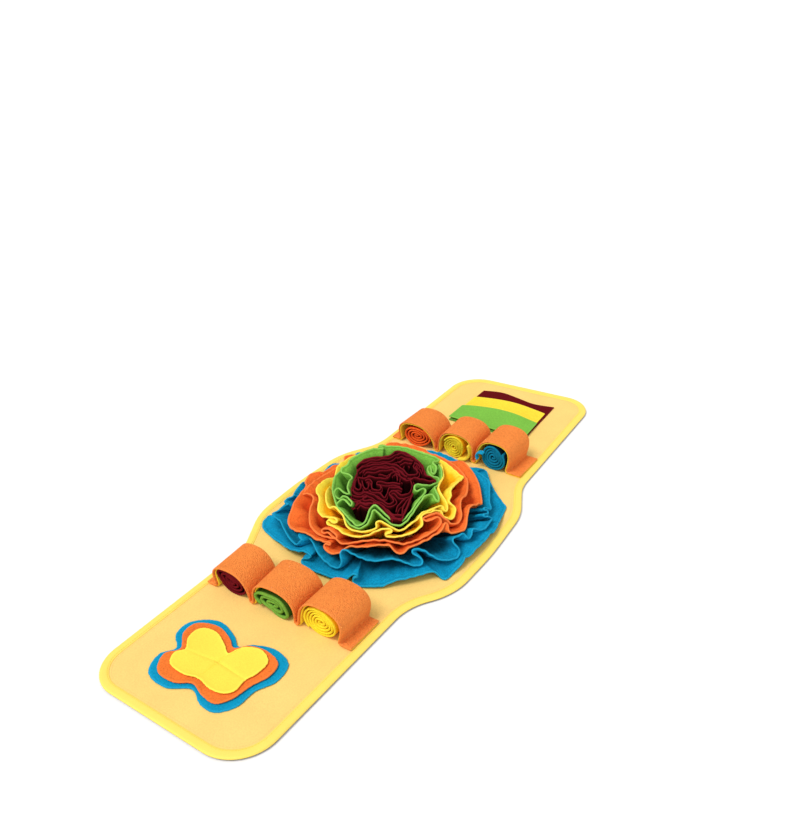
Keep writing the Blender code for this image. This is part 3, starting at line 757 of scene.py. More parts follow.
hem_x = np.linspace(*HEM_REACH, HEM_ROWS)
hem_x, hem_y = np.meshgrid(hem_x, np.linspace(*HEM_SIDES, POCKET_COLUMNS), indexing="ij")
hem_height = HEM_HEIGHT + HEM_SWELL * swell(hem_x, hem_y, HEM_SWELL_SIZE, seed=50)
hem = np.dstack((hem_x, hem_y, hem_height))
# Painted shade: the hem's darker green.
hem_fleece = fleece("pocket hem fleece", SHADED_HEM_GREEN, pill=1.1 * MM, relief=0.4, mottle=0.13)
hem_piece = cloth("pocket_hem", hem, HEM_CLOTH, hem_fleece)
sewn(hem_piece, "green_fleece")
green_top = POCKET_LOW + 2 * (POCKET_CLOTH + GAP) + POCKET_CLOTH / 2 + THREAD_SUNK
seam_rows = []
for start, end, count in POCKET_STITCHES:
    row = np.linspace(start, end, count) * MM
    seam_rows.append(np.column_stack((row, np.full(count, green_top))))
green_thread = thread("green thread", GREEN_THREAD)
stitches("pocket_stitches", seam_rows, green_thread, "green_fleece")

# ---------------------------------------------------------------------------------------------
# Loop strips: a band of pilled orange fleece lined with thin yellow cloth, sewn down across the
# mat at four feet so that it stands up in three loops, with a flat tail at each end.
# ---------------------------------------------------------------------------------------------

STRIP_WIDTH = 51.0 * MM
STRIP_OUTER = 2.0 * MM
STRIP_INNER = 1.4 * MM
FOOT_RADIUS = 2.6 * MM
FOOT_POINTS = 6  # to a quarter turn
TAIL_POINTS = 5
LOOP_FULLNESS = 2.5  # 2 is an ellipse, and more is squarer
LOOP_POINTS = 44
STRIP_COLUMNS = 30
LINING_SHORT = {"near": 2.4 * MM, "far": 0.2 * MM}  # how far it stops short of the band's edges
STRIP_ORANGE = (1.000, 0.256, 0.053)

# Feet at the strip's edge nearer the butterfly and at its other edge. Loops: height at each of
# those edges, bulges to the left and right, lean to the left. All in millimetres
STRIPS = {
    "near": {
        "start": -223,
        "tails": (102, -107.5),
        "feet": ((91, 92), (33, 37), (-33.5, -33.5), (-95, -97)),
        "loops": ((38, 39, 4, -1, 3), (40.5, 41, 1, 2, 0), (46.5, 47, 1, 5, -4)),
    },
    "far": {
        "start": 162,
        "tails": (102, -107),
        "feet": ((91, 90), (26.5, 29), (-34.5, -34.5), (-89.5, -92.5)),
        "loops": ((39.5, 38, 3, -1, 4), (43.5, 43.5, 1, 2, -2), (47.5, 48.5, 2, 4, -5)),
    },
}


def strip_path(strip, edge):
    """Middle line of a strip's outer cloth, at a share of the way from its near edge to its far
    one: across the mat and up."""
    low = PANEL_THICKNESS + GAP + STRIP_INNER + GAP + STRIP_OUTER / 2
    spring = low + FOOT_RADIUS
    feet = [(foot + (other - foot) * edge) * MM for foot, other in strip["feet"]]
    left_tail, right_tail = [tail * MM for tail in strip["tails"]]
    path = [(left_tail + (feet[0] - left_tail) * step / TAIL_POINTS, low) for step in range(TAIL_POINTS)]

    def foot_turn(foot, first, last):
        for step in range(round(first * 2 * FOOT_POINTS), round(last * 2 * FOOT_POINTS) + 1):
            angle = -math.pi * step / (2 * FOOT_POINTS)
            path.append((foot + math.cos(angle) * FOOT_RADIUS, spring + math.sin(angle) * FOOT_RADIUS))

    foot_turn(feet[0], 0.5, 1.0)
    for k, (foot, following) in enumerate(zip(feet, feet[1:])):
        near_height, far_height, left_bulge, right_bulge, lean = [size * MM for size in strip["loops"][k]]
        half_span = (foot - following) / 2 - FOOT_RADIUS
        rise = near_height + (far_height - near_height) * edge - STRIP_OUTER / 2 - spring
        for step in range(1, LOOP_POINTS):
            angle = math.pi * step / LOOP_POINTS
            reach = math.copysign(abs(math.cos(angle)) ** (2 / LOOP_FULLNESS), math.cos(angle))
            height = math.sin(angle) ** (2 / LOOP_FULLNESS)
            bulge = math.sin(2 * angle) * (left_bulge if step < LOOP_POINTS / 2 else right_bulge)
            across = (foot + following) / 2 + half_span * reach + bulge + lean * height
            path.append((across, spring + rise * height))
        foot_turn(following, 0.0, 1.0 if k < len(feet) - 2 else 0.5)
    for step in range(1, TAIL_POINTS + 1):
        path.append((feet[-1] + (right_tail - feet[-1]) * step / TAIL_POINTS, low))
    return np.array(path)


def beneath(path, distance):
    """The path moved to its lower side."""
    return path + leftward(unit(np.gradient(path, axis=0))) * distance


orange_pile = fleece(
    "pilled orange fleece", STRIP_ORANGE, pill=1.5 * MM, relief=0.68, mottle=0.16, rim=0.15, pebbles=1.0
)
lining_cloth = fleece("yellow lining", YELLOW, pill=0.9 * MM, relief=0.3, mottle=0.1)
for place_name, strip in STRIPS.items():
    for layer, word, thickness, material, short in (
        ("outer", "orange", STRIP_OUTER, orange_pile, 0.0),
        ("inner", "yellow", STRIP_INNER, lining_cloth, LINING_SHORT[place_name]),
    ):
        shares = np.linspace(0, 1, STRIP_COLUMNS)
        ribs = [strip_path(strip, share) for share in shares]
        if layer == "inner":
            ribs = [beneath(path, STRIP_OUTER / 2 + GAP + STRIP_INNER / 2) for path in ribs]
        ribs = np.array(ribs).transpose(1, 0, 2)
        width = STRIP_WIDTH - 2 * short
        x = strip["start"] * MM + short + width * np.broadcast_to(shares, ribs.shape[:2])
        middle = np.dstack((x, ribs))
        name = f"strip_{place_name}_{layer}"
        band = cloth(name + "_cloth", middle, thickness, material)
        sewn(band, word + "_fleece", name)
        length = line_length(middle[:, 0])

# ---------------------------------------------------------------------------------------------
# Rolls: a strip of fleece wound up tight and tucked into each loop, where the loop holds it. The
# outer ends of two of them come loose beside them.
# ---------------------------------------------------------------------------------------------

# Strip, middle across the mat, half width, half height, how far the ends stand past the strip's
# edges at the butterfly's side and at the pockets' side, all in millimetres, colour, turns, lift
# of its left side in degrees, how crumpled it is, where its outer end lies in degrees
ROLLS = {
    "roll_near_burgundy": ("near", 66.5, 25.5, 15.8, -3, 0, "burgundy", 3.8, 10, 0.10, 60),
    "roll_near_green": ("near", -0.5, 24.0, 15.8, -1, 0, "green", 2.8, 4, 0.20, -30),
    "roll_near_yellow": ("near", -65.5, 23.5, 20.4, -3, 0, "yellow", 5.2, 0, 0.03, -40),
    "roll_far_orange": ("far", 60.5, 23.8, 16.4, 0, -2, "orange", 4.0, 4, 0.05, 120),
    "roll_far_yellow": ("far", -1.5, 18.5, 17.6, 0, -2, "yellow", 4.6, 0, 0.06, 30),
    "roll_far_blue": ("far", -64.5, 20.0, 19.6, 0, -2, "blue", 4.4, 0, 0.05, 150),
}
ROLL_HEART = 0.10  # where the winding starts, as a share of its size
ROLL_TIGHTNESS = 0.80  # the cloth's thickness as a share of the room for each turn
TURN_POINTS = 40
ROLL_ROWS = 10
ROLL_WANDER = 0.6 * MM  # how far its turns stand past each other at the ends
ROLL_HOLLOW = 2.0 * MM  # how much further in its heart lies
ROLL_DRIFT = 0.83  # how fast the turns' ends change from one turn to the next
DYES = {"burgundy": BURGUNDY, "green": GREEN, "yellow": YELLOW, "orange": ORANGE, "blue": BLUE}
# Colour of a cut edge, and painted shade in the hollows between the turns
ROLL_DYES_AND_SHADES = {
    "burgundy": ((0.140, 0.0055, 0.010), (0.020, 0.0006, 0.0010)),
    "green": ((0.165, 0.360, 0.045), (0.035, 0.100, 0.010)),
    "yellow": ((1.000, 0.690, 0.032), (0.960, 0.400, 0.006)),
    "orange": ((0.870, 0.118, 0.018), (0.440, 0.020, 0.005)),
    "blue": ((0.005, 0.185, 0.320), (0.001, 0.012, 0.024)),
}
# Painted shade: each rolled cloth darkens to its hollow colour from just inside its cut edges.
roll_cloths = {
    word: fleece(
        f"rolled {word} fleece", colour, pill=0.9 * MM, relief=0.7, mottle=0.24, shade_colour=shade_tone,
        shade_from=0.1 * MM, shade_to=1.7 * MM,
    )
    for word, (colour, shade_tone) in ROLL_DYES_AND_SHADES.items()
}
for number, (name, roll) in enumerate(ROLLS.items()):
    place_name, across, half_width, half_height, front, back, word, turns, tilt, crumple, ending = roll
    count = round(turns * TURN_POINTS)
    turn = np.linspace(0, 2 * math.pi * turns, count)
    size = 1 - (1 - ROLL_HEART) * turn / turn[-1]
    roll_cloth = ROLL_TIGHTNESS * (1 - ROLL_HEART) * half_height * MM / (turns + 0.5)
    wide = half_width * MM - roll_cloth / 2
    tall = half_height * MM - roll_cloth / 2
    bearing = turn + math.radians(ending)
    dents = np.sin(2 * bearing + number) + 0.7 * np.sin(3 * bearing + 2 * number)
    dented = size * (1 + crumple * dents)
    flat = np.stack((wide * dented * np.cos(bearing), tall * dented * np.sin(bearing)), axis=1)
    slope = math.radians(tilt)
    section = flat @ np.array(((math.cos(slope), math.sin(slope)), (-math.sin(slope), math.cos(slope))))
    lift = PANEL_THICKNESS + GAP + roll_cloth / 2 - section[:, 1].min()
    start = STRIPS[place_name]["start"] * MM
    edge_wave = ROLL_WANDER * np.sin(turn * ROLL_DRIFT + number) + ROLL_HOLLOW * (1 - size)
    near_end = start - front * MM + edge_wave
    far_end = start + STRIP_WIDTH + back * MM - edge_wave
    middle = np.zeros((ROLL_ROWS, count, 3))
    middle[..., 0] = near_end + (far_end - near_end) * np.linspace(0, 1, ROLL_ROWS)[:, None]
    middle[..., 1] = across * MM + section[:, 0]
    middle[..., 2] = lift + section[:, 1]
    winding = cloth(name + "_cloth", middle, roll_cloth, roll_cloths[word])
    sewn(winding, word + "_fleece", name)
    length = line_length(section)

# Loose ends: places across the mat and up, from the roll out, where the end starts and stops
# along the mat, in millimetres, how many points it has that way, and its colour
LOOSE_ENDS = {
    "loose_end_far_yellow": (
        ((-26.5, 30), (-28, 24), (-28.5, 17), (-26, 10.5), (-20, 6.5), (-12, 5.4)),
        159, 209, 14, "yellow",
    ),
    "loose_end_far_blue": (
        ((-51.5, 27.5), (-47.5, 28), (-43.5, 25.5), (-42, 21), (-43.5, 17.5)),
        156, 161, 6, "blue",
    ),
}
LOOSE_CLOTH = 2.6 * MM
LOOSE_STEPS = 6
LOOSE_LEAN = 1.2  # how far its tip lies nearer the butterfly, in millimetres
LOOSE_WAVE = 0.5  # how far it waves up and down, in millimetres
LOOSE_WIDTH = 10.0 * MM  # least width of its flat cloth
loose_cloths = {
    word: fleece(f"loose {word} fleece", DYES[word], pill=1.0 * MM, relief=0.4, mottle=0.14, rim=0.25)
    for word in ("yellow", "blue")
}
for name, (path, first, last, columns, word) in LOOSE_ENDS.items():
    line = []
    spots = [Vector(point) for point in (path[0], *path, path[-1])]
    for before, point, after, beyond in zip(spots, spots[1:], spots[2:], spots[3:]):
        leaving, arriving = point + (after - before) / 6, after - (beyond - point) / 6
        line += interpolate_bezier(point, leaving, arriving, after, LOOSE_STEPS)[:-1]
    line = np.array([tuple(point) for point in (*line, spots[-1])])
    shares = np.linspace(0, 1, columns)
    middle = np.zeros((len(line), len(shares), 3))
    middle[..., 0] = first + (last - first) * shares
    middle[..., 0] -= LOOSE_LEAN * np.linspace(0, 1, len(line))[:, None] ** 2
    middle[..., 1:] = line[:, None, :]
    middle[..., 2] += LOOSE_WAVE * np.sin(shares * 7.0)
    tail = cloth(name + "_cloth", middle * MM, LOOSE_CLOTH, loose_cloths[word])
    sewn(tail, word + "_fleece", name)
    length = line_length(line) * MM
    width = max((last - first) * MM, LOOSE_WIDTH)
    area = min(surface(tail), width * length)

# ---------------------------------------------------------------------------------------------
# Rosette: long strips of fleece gathered on one edge and sewn down in rings, widest first, so
# that their free edges stand up and fall outward in folds: blue, orange, yellow, green and, in
# the middle, burgundy, which is bunched up into tucks.
# ---------------------------------------------------------------------------------------------

# The camera, in whose frame the edges of the rosette are laid out
CAMERA_FRAME = (790, 833)
CAMERA_SENSOR = 36.0
CAMERA_LENS = 38.889
CAMERA_PLACE = np.array((-0.76260, -0.56707, 0.69125))
CAMERA_AZIMUTH = math.radians(-54.16)
CAMERA_ELEVATION = math.radians(29.70)
CAMERA_ROLL = math.radians(-2.776)

FLEECE = 2.2 * MM
ROSETTE_CROWN = 63.0 * MM  # height of the dome on which the free edges lie
ROSETTE_SKIRT = 155.0 * MM  # how far out it comes down to the panel
ROSETTE_FALL = 2.4  # 2 is a parabola, and more is flatter on top
DOME_STEPS = 60
DOME_SHARE = 0.6  # how much of the last height each step keeps
LOWEST_EDGE = 4.9 * MM
EDGE_STEPS = 8
WAVE_LIFT = 0.35  # how much of each fold goes into rising and falling
MOST_LIFT = 6.0 * MM
SEAM_SHARE = 0.6  # how far out a seam lies, as a share of its free edge's distance
SEAM_HEIGHT = 3.9 * MM
SEAM_SLANT = 0.7 * MM  # how much higher the outermost seam lies than the innermost
SEAM_FOLD = 0.15  # how much of the folds is left at the seam
SEAM_FADE = 0.8  # how soon the folds fade towards it, less being later
SEAM_DRAW = 18.0 * MM  # over what length the gathering thread evens out the folds
RUFFLE_ROWS = 18
STATION = 1.7 * MM  # between the points of a free edge
# Lengths of a ruffle's waves, and how far its folds slant from the seam to the free edge
FINE_WAVE = 13.0 * MM
BROAD_WAVE = 34.0 * MM
PLEAT_WAVE = 26.0 * MM
FOLD_SLANT = 14.0 * MM
# Depth of the broad folds: mean, swing about it and most, as shares of the ruffle's own
FOLD_MEAN = 0.55
FOLD_SWING = 0.75
FOLD_MOST = 1.4
EDGE_WANDER = 0.8 * MM
FINE_DEPTH = 0.45 * MM
PLEAT_DEPTH = 2.0 * MM
PLEAT_ROUND = 0.7  # less makes the pleats' ridges sharper and their hollows flatter
SLACK = 0.6  # how the cloth stands off between seam and free edge, less being more evenly
SINK_DEPTH = 4.5 * MM  # how far a ruffle sinks under the edge of one that lies on it
SINK_WIDTH = 8.0 * MM
SINK_HEIGHT = 18.0 * MM  # above the seam, from where it sinks fully
SINK_SHADE = 4.5  # painted shade where it sinks: its sinking, so many times over, is added to its edge distance
DENT_POINTS = 6
RUFFLE_SEED = 60

# Free edges as they stand before the camera: across and down its frame and, where an edge leaves
# the rosette's dome, its height in millimetres
EDGES_SEEN = {
    "ruffle_blue_lower": (
        (272.5, 515.5), (269, 516), (266.5, 518.5), (264, 521), (263, 524.5), (263, 527),
        (265, 530.5), (268, 533.5), (271.5, 536.5), (275, 539.5), (279.5, 542), (284, 545.5),
        (289, 548.5), (293.5, 550), (298, 551), (304, 551.5), (307.5, 553), (310, 555),
        (311, 556.5), (308.5, 558.5), (305.5, 558.5), (302.5, 559.5), (301.5, 561.5), (303, 564.5),
        (305.5, 566.5), (310, 569), (315.5, 571.5), (321.5, 573.5), (326.5, 575.5), (332, 577.5),
        (337.5, 579), (342, 579.5), (345.5, 579.5), (348, 577.5), (350.5, 576), (353.5, 574.5),
        (356, 574.5), (357.5, 576), (356.5, 577.5), (354, 578.5), (353, 580.5), (354, 583.5),
        (356.5, 585.5), (361.5, 586.5), (368, 586.5), (374.5, 586.5), (381.5, 586), (386.5, 584.5),
        (390.5, 582.5), (395.5, 580.5), (400, 579.5), (405.5, 578.5), (411.5, 577), (417, 575.5),
        (422.5, 574), (427.5, 572.5), (431.5, 571.5), (435, 572), (438, 574.5), (440.5, 577),
        (443, 579), (445.5, 579.5), (449, 577), (453, 572.5), (457.5, 568), (461.5, 564),
        (464, 560), (465, 557), (469.5, 556), (472.5, 552.5), (476, 548.5), (480, 545),
        (484.5, 540.5), (488, 536.5), (489.5, 533.5), (492.5, 532.5), (495.5, 529), (498, 523.5),
        (500.5, 518.5), (503.5, 512.5), (505.5, 507), (502.5, 503), (498.5, 497.5), (494.5, 491.5),
        (491.5, 485.5), (489.5, 481.5, 8), (488, 476.5, 10), (485.5, 470.5, 12), (482.5, 469.5, 14),
        (476, 468, 14), (469.5, 468, 13),
    ),
    "ruffle_blue_upper": (
        (305, 482, 20), (301, 484.5), (297, 489.5), (294.5, 493), (294, 495.5), (291.5, 497),
        (287, 499), (285, 501), (286.5, 503.5), (288.5, 504), (284.5, 506), (280, 509.5),
        (277.5, 511.5), (272.5, 513.5), (274, 516), (277, 518.5), (280, 520.5), (281.5, 523),
        (283, 526.5), (285, 530.5), (287.5, 535), (290, 539), (292.5, 541.5), (295, 544),
        (298, 544), (300, 541.5), (301.5, 539.5), (300, 538), (299, 536), (299.5, 534, 22),
        (301.5, 533, 21), (304.5, 533, 20), (307.5, 534.5, 20), (309.5, 538, 21), (313.5, 543.5, 23),
        (316.5, 550.5),
        (320, 555.5), (324, 560.5), (328, 563.5), (332, 566.5), (336, 568), (339.5, 567.5),
        (340.5, 565), (341.5, 561.5), (340.5, 556.5), (340.5, 553), (342.5, 550), (346, 550.5),
        (352, 553.5), (358, 556.5), (364, 559), (370.5, 560.5), (377.5, 561), (383, 560),
        (388, 559), (394, 559.5), (399, 560), (402.5, 561.5), (406.5, 563), (410, 564.5),
        (414.5, 565.5), (419, 565.5), (422, 564), (422.5, 561.5), (421.5, 559), (418, 556.5),
        (415, 554.5), (412.5, 553), (412.5, 550.5), (415, 549), (419, 549), (422.5, 550.5),
        (426.5, 552), (430, 554.5), (434, 557), (438, 559), (443, 560), (449, 560), (454, 559),
        (457.5, 557), (459.5, 554), (459.5, 550.5), (457.5, 547.5), (455, 544.5), (453, 542),
        (453, 539), (455.5, 537), (459.5, 535.5), (464, 533.5), (466, 536.5), (468.5, 538.5),
        (471.5, 535), (472, 530.5), (474, 528.5), (477.5, 529.5), (482.5, 529.5), (486.5, 527),
        (489.5, 522.5), (492, 518.5), (488.5, 516.5), (484.5, 516.5), (483.5, 514.5), (488, 513.5),
        (487.5, 511), (484, 509.5), (485, 507.5), (489.5, 509.5), (491, 508), (489.5, 503),
        (489.5, 495), (489.5, 488, 18), (489, 481.5, 20), (485, 477.5, 21),
    ),
    "ruffle_orange_outer": (
        (321, 473.5, 33), (316, 472.5, 34), (310, 475, 35), (305.5, 482, 35), (306.5, 486),
        (304, 489.5), (301, 493.5), (297, 498.5),
        (294, 503.5), (292, 509), (290, 514), (288.5, 519), (288.5, 523), (290, 526.5),
        (293.5, 529.5), (298, 531.5), (302.5, 532), (307, 533.5), (311, 535.5), (314, 538),
        (318, 540), (322.5, 541), (327.5, 542.5), (330.5, 543.5), (330, 545), (328, 544.5),
        (325.5, 544), (324, 546), (325, 549), (327.5, 551.5), (331.5, 553.5), (336, 553.5),
        (340, 553), (342.5, 550.5), (346, 548), (350, 546.5), (356, 546.5), (362, 547),
        (368, 546.5), (374, 545.5), (380, 545), (386, 545), (390, 546), (393, 549),
        (396.5, 552.5), (400, 554), (403, 553), (405, 551.5), (407.5, 549), (410, 547.5),
        (415, 545.5), (420, 543), (425, 541), (430, 538), (434.5, 535), (439, 532.5),
        (442.5, 529), (444, 525), (446, 523), (448, 525.5), (448.5, 529.5), (450.5, 533),
        (454.5, 533), (459.5, 531.5), (463.5, 530.5), (465.5, 527.5), (466.5, 523), (467, 517.5),
        (468, 512.5), (469.5, 507.5), (472, 505.5), (474.5, 505), (478.5, 504), (481.5, 503.5),
        (481.5, 500.5), (480.5, 493.5), (479.5, 487.5, 27), (477.5, 481.5, 28), (474.5, 475.5, 29),
        (470.5, 469.5, 30), (466.5, 465, 32), (462.5, 461.5, 33),
    ),
    "ruffle_orange_inner": (
        (309, 486), (302.5, 494.5), (305, 493.5), (309, 494), (312.5, 496), (313.5, 499),
        (312.5, 503), (311, 506.5), (310, 510.5), (309.5, 515), (309.5, 519.5), (310, 524),
        (312, 528), (314.5, 531), (318, 534), (322, 536), (326.5, 537), (331.5, 538),
        (336.5, 538.5), (336.8, 536), (334.8, 533.8), (331.8, 531.2), (327.5, 528.8), (323.5, 529),
        (321.6, 531.2), (323.6, 533.4), (327, 532.3), (329.2, 533.6), (331.4, 535.8), (334.8, 538),
        (337, 540), (340.5, 543), (345, 544), (351, 543), (357, 542), (363, 541), (370, 540.5),
        (377, 540), (384, 540.5), (391, 541.5), (398, 543.5), (404, 544), (410, 542.5),
        (417, 540), (424, 537), (430, 533.5), (436, 529.5), (440.5, 524.5), (441, 520),
        (438.5, 517.5), (434.5, 518), (431, 520), (427, 521), (423, 519), (425, 517),
        (429, 515.5), (432.5, 514), (437, 513), (440.5, 514.5), (443, 517), (447, 520),
        (451, 523.5), (455, 524), (459, 522), (461, 518), (461.5, 514), (460.5, 508),
        (460.5, 503), (461.5, 499), (464.5, 496.5), (466.5, 494), (467.5, 487.5), (467, 480),
    ),
    "ruffle_yellow_outer": (
        (334, 478, 38), (329, 478.5, 41), (324, 481, 43), (319, 485, 45), (316.5, 489), (317, 493),
        (319, 496), (319.5, 500), (318.5, 505), (318, 510), (320, 514), (323, 516.5),
        (330, 517.5), (336, 519), (337, 522), (333, 522.5), (329, 520.5), (327, 521.5),
        (327.5, 524), (332, 526), (337.5, 528.8), (341.5, 532), (346, 534.5), (351.5, 536),
        (357, 536.8), (362, 536.5), (367, 535.5), (371.5, 533.5), (376.5, 531), (382, 529.5),
        (387.5, 528.5), (390, 529), (392, 530.5), (390, 533), (386, 534.5), (385.5, 535.5), (389.5, 537),
        (394, 537), (399, 536.5), (404, 535.5), (409, 534), (414, 532), (417.5, 529.5),
        (420.5, 527), (422.5, 524), (422, 520), (421.5, 517), (423, 514.5), (426.5, 513),
        (431, 512), (436, 510.5), (441, 511.5), (443.5, 516), (449, 519), (453, 518),
        (455, 513), (455.5, 509), (454, 506.5), (451, 504), (449, 501), (451, 496),
        (450.5, 491), (452, 488), (457, 483), (462, 479), (463, 477), (460, 475), (455, 471),
        (448, 465), (442, 461),
    ),
    "ruffle_yellow_inner": (
        (333, 482, 33), (329, 488, 37), (326, 494), (326, 499), (327, 504), (330, 508),
        (333, 506.5), (336, 508), (340, 512), (342.5, 515), (344.5, 519.5), (346, 525),
        (349.5, 528.5), (353.5, 530.5), (358.5, 531.5), (365.5, 531.5), (370.5, 530.5),
        (374, 529), (376, 528), (376.5, 526), (376, 523), (378.5, 521.5), (381.5, 521.5),
        (384.5, 523), (388.5, 525.5), (392.5, 528), (396.5, 529.5), (400, 530.5), (404, 529),
        (407.5, 526.5), (412, 523), (415.5, 520.5), (419, 517.5), (420.5, 514.5), (424, 512),
        (428, 511), (432.5, 509.5), (437, 507), (440.5, 505.5), (443, 507), (444, 510),
        (446, 511.5), (447.5, 508), (446.5, 503), (443, 497), (440, 492), (438.5, 488),
        (440, 483), (443, 478), (443, 472, 48),
    ),
    "ruffle_green_outer": (
        (341, 471, 47), (335.5, 476, 47), (333, 484, 48), (333, 493), (337, 506), (340, 511.5),
        (345, 518.5), (350, 524.5), (356, 528), (362, 527.5), (367, 524.5), (369.5, 520),
        (371.5, 515), (373, 511), (375, 510), (377, 511.5), (380, 514.5), (385, 519),
        (390, 523), (396, 525.5), (401, 525), (406, 521.5), (411, 515.5), (416, 508),
        (421, 501), (425, 496), (430, 494.5), (433, 495), (436, 500), (438, 502), (439, 498),
        (436, 491), (434.5, 487.5), (437, 486), (440.5, 482, 52),
    ),
    "ruffle_green_inner": (
        (347, 465, 53), (342, 468, 53), (341, 471, 52), (344, 473, 52), (348, 474, 52),
        (352, 477, 52), (349, 482), (347.5, 487), (348.5, 491), (349.5, 493.5), (347, 494),
        (343, 492), (340, 489), (336, 489), (334, 493), (336, 497), (340, 499), (343, 496),
        (349, 499), (352, 503), (351, 506), (346, 501), (342, 499.5), (337, 504), (336.5, 507),
        (340, 509), (343, 512), (347.5, 517), (352.5, 522), (356.5, 525.5), (361.5, 525),
        (365.5, 521), (368, 514.5), (370, 509), (374, 505.5), (378, 507), (382, 511),
        (387, 516), (392, 520), (397, 522), (401, 521.5), (405, 518.5), (409, 514),
        (413, 508.5), (417, 502.5), (422, 496.5), (425, 493), (425.5, 490), (423, 488.5),
        (420, 490), (417, 491), (414.5, 489), (415, 486), (418, 484), (422, 485), (428, 485.5),
        (433, 484.5), (437, 483), (439.5, 481), (438, 478), (434, 476.5, 55), (430, 474.8, 55),
        (428, 471, 56), (428.3, 466.8, 57), (430.2, 466.2, 57), (431.2, 469.5, 56), (432, 473, 56),
        (434, 473.8, 56), (436, 470.5, 56), (436.2, 466.5, 57), (433.6, 464, 58), (433.2, 461.8, 58),
        (436.5, 461.2, 57), (439.5, 459.8, 57), (436, 457.6, 58), (428, 454.5, 59),
        (420, 452, 59), (412, 449.5, 60), (404, 447.5, 60), (396, 446.5, 60), (388, 446.3, 60),
        (380, 445.3, 61), (378.6, 446.6, 60), (383, 447.4, 60), (383.4, 448.8, 59), (378, 448.6, 59),
        (372, 449.3, 59), (364, 452, 58), (356, 456, 56),
        (350, 460, 55),
    ),
    "ruffle_burgundy_outer": (
        (357.5, 472, 56), (355, 479, 55), (352, 487, 54), (351, 494, 53), (351.5, 502.5, 52),
        (353, 509, 52), (356, 507, 52), (358, 501, 53), (362, 503, 53), (368, 504, 54),
        (375, 503, 55), (381, 505, 55), (386, 510, 55), (391, 515, 55), (396, 518.5, 55),
        (401, 520, 55), (403.5, 515, 54), (407, 508, 54), (410, 500, 53), (414, 492, 52),
        (419, 486.5, 51), (428, 484.5, 50), (434, 483, 51), (436, 481, 52), (434, 479, 54),
        (430, 477, 57), (426, 475, 58), (424, 470, 59), (422, 465, 60), (418, 461, 61),
        (413, 457, 62), (408, 454, 62), (403, 452, 62), (398, 451, 62), (395, 451.5, 62),
        (393.5, 453, 62), (391, 455, 62), (386, 456.5, 62), (380, 457, 62), (373, 457.5, 62),
        (368, 458.5, 61), (364, 460, 60), (360, 463, 59), (357, 466, 58),
    ),
}

# The rest of each edge, behind the rosette: bearing in degrees, distance from its middle and
# height likewise
EDGES_BEHIND = {
    "ruffle_blue_lower": (
        (353, 147), (7, 146), (20, 139), (38, 143), (47, 141, 14), (53, 140, 14), (59, 126, 15),
        (66, 126, 15), (71, 131, 15), (79, 124, 15), (86, 118, 16), (93, 124, 15), (99, 121, 16),
        (107, 121, 14), (113, 131, 13),
    ),
    "ruffle_blue_upper": (
        (338, 134, 22), (352, 132, 24), (4, 133, 24), (20, 128), (38, 131, 22), (48, 126, 20),
        (54, 128, 19), (60, 116, 21), (67, 116, 20), (72, 121, 20), (80, 112, 21), (88, 113, 20),
    ),
    "ruffle_orange_outer": (
        (350, 122, 25), (3, 121, 26), (12, 120, 34), (24, 118, 38), (33, 116, 40), (39, 111, 32),
        (47, 108, 30), (54, 109, 30), (58, 114, 30), (64, 117, 30), (68, 107, 30), (73, 103, 31),
        (78, 107, 30), (84, 105, 31),
    ),
    "ruffle_orange_inner": (
        (332, 108), (347, 110), (2, 112), (22, 106), (38, 104, 38), (50, 98, 38), (62, 97, 36),
        (75, 94, 36), (88, 91, 38), (98, 95, 38),
    ),
    "ruffle_yellow_outer": (
        (358, 98), (12, 102), (26, 97), (42, 97, 43), (58, 92, 43), (66, 91, 44), (74, 87, 45),
        (84, 85, 44),
    ),
    "ruffle_yellow_inner": (
        (337, 85), (352, 90), (8, 90), (22, 89), (38, 90), (56, 83, 42), (74, 79, 40), (92, 77, 36),
    ),
    "ruffle_green_outer": (
        (318, 74), (334, 80), (350, 84), (8, 86), (24, 85), (40, 84), (58, 77, 49), (72, 71, 50),
        (84, 67, 50),
    ),
}

# How far out each ruffle turns over, as a share of its width, how high its turn lies above its
# free edge and how deep the hollows between its folds are, in millimetres
RUFFLE_TURNS = {
    "ruffle_blue_lower": (0.38, 12, 6.5), "ruffle_blue_upper": (0.40, 0, 6.5),
    "ruffle_orange_outer": (0.40, 6, 5.0), "ruffle_orange_inner": (0.42, -2, 4.5),
    "ruffle_yellow_outer": (0.38, 0, 4.0), "ruffle_yellow_inner": (0.36, -5, 3.0),
    "ruffle_green_outer": (0.30, -8, 2.5), "ruffle_green_inner": (0.26, -9, 2.5),
    "ruffle_burgundy_outer": (0.22, -10, 2.5),
}

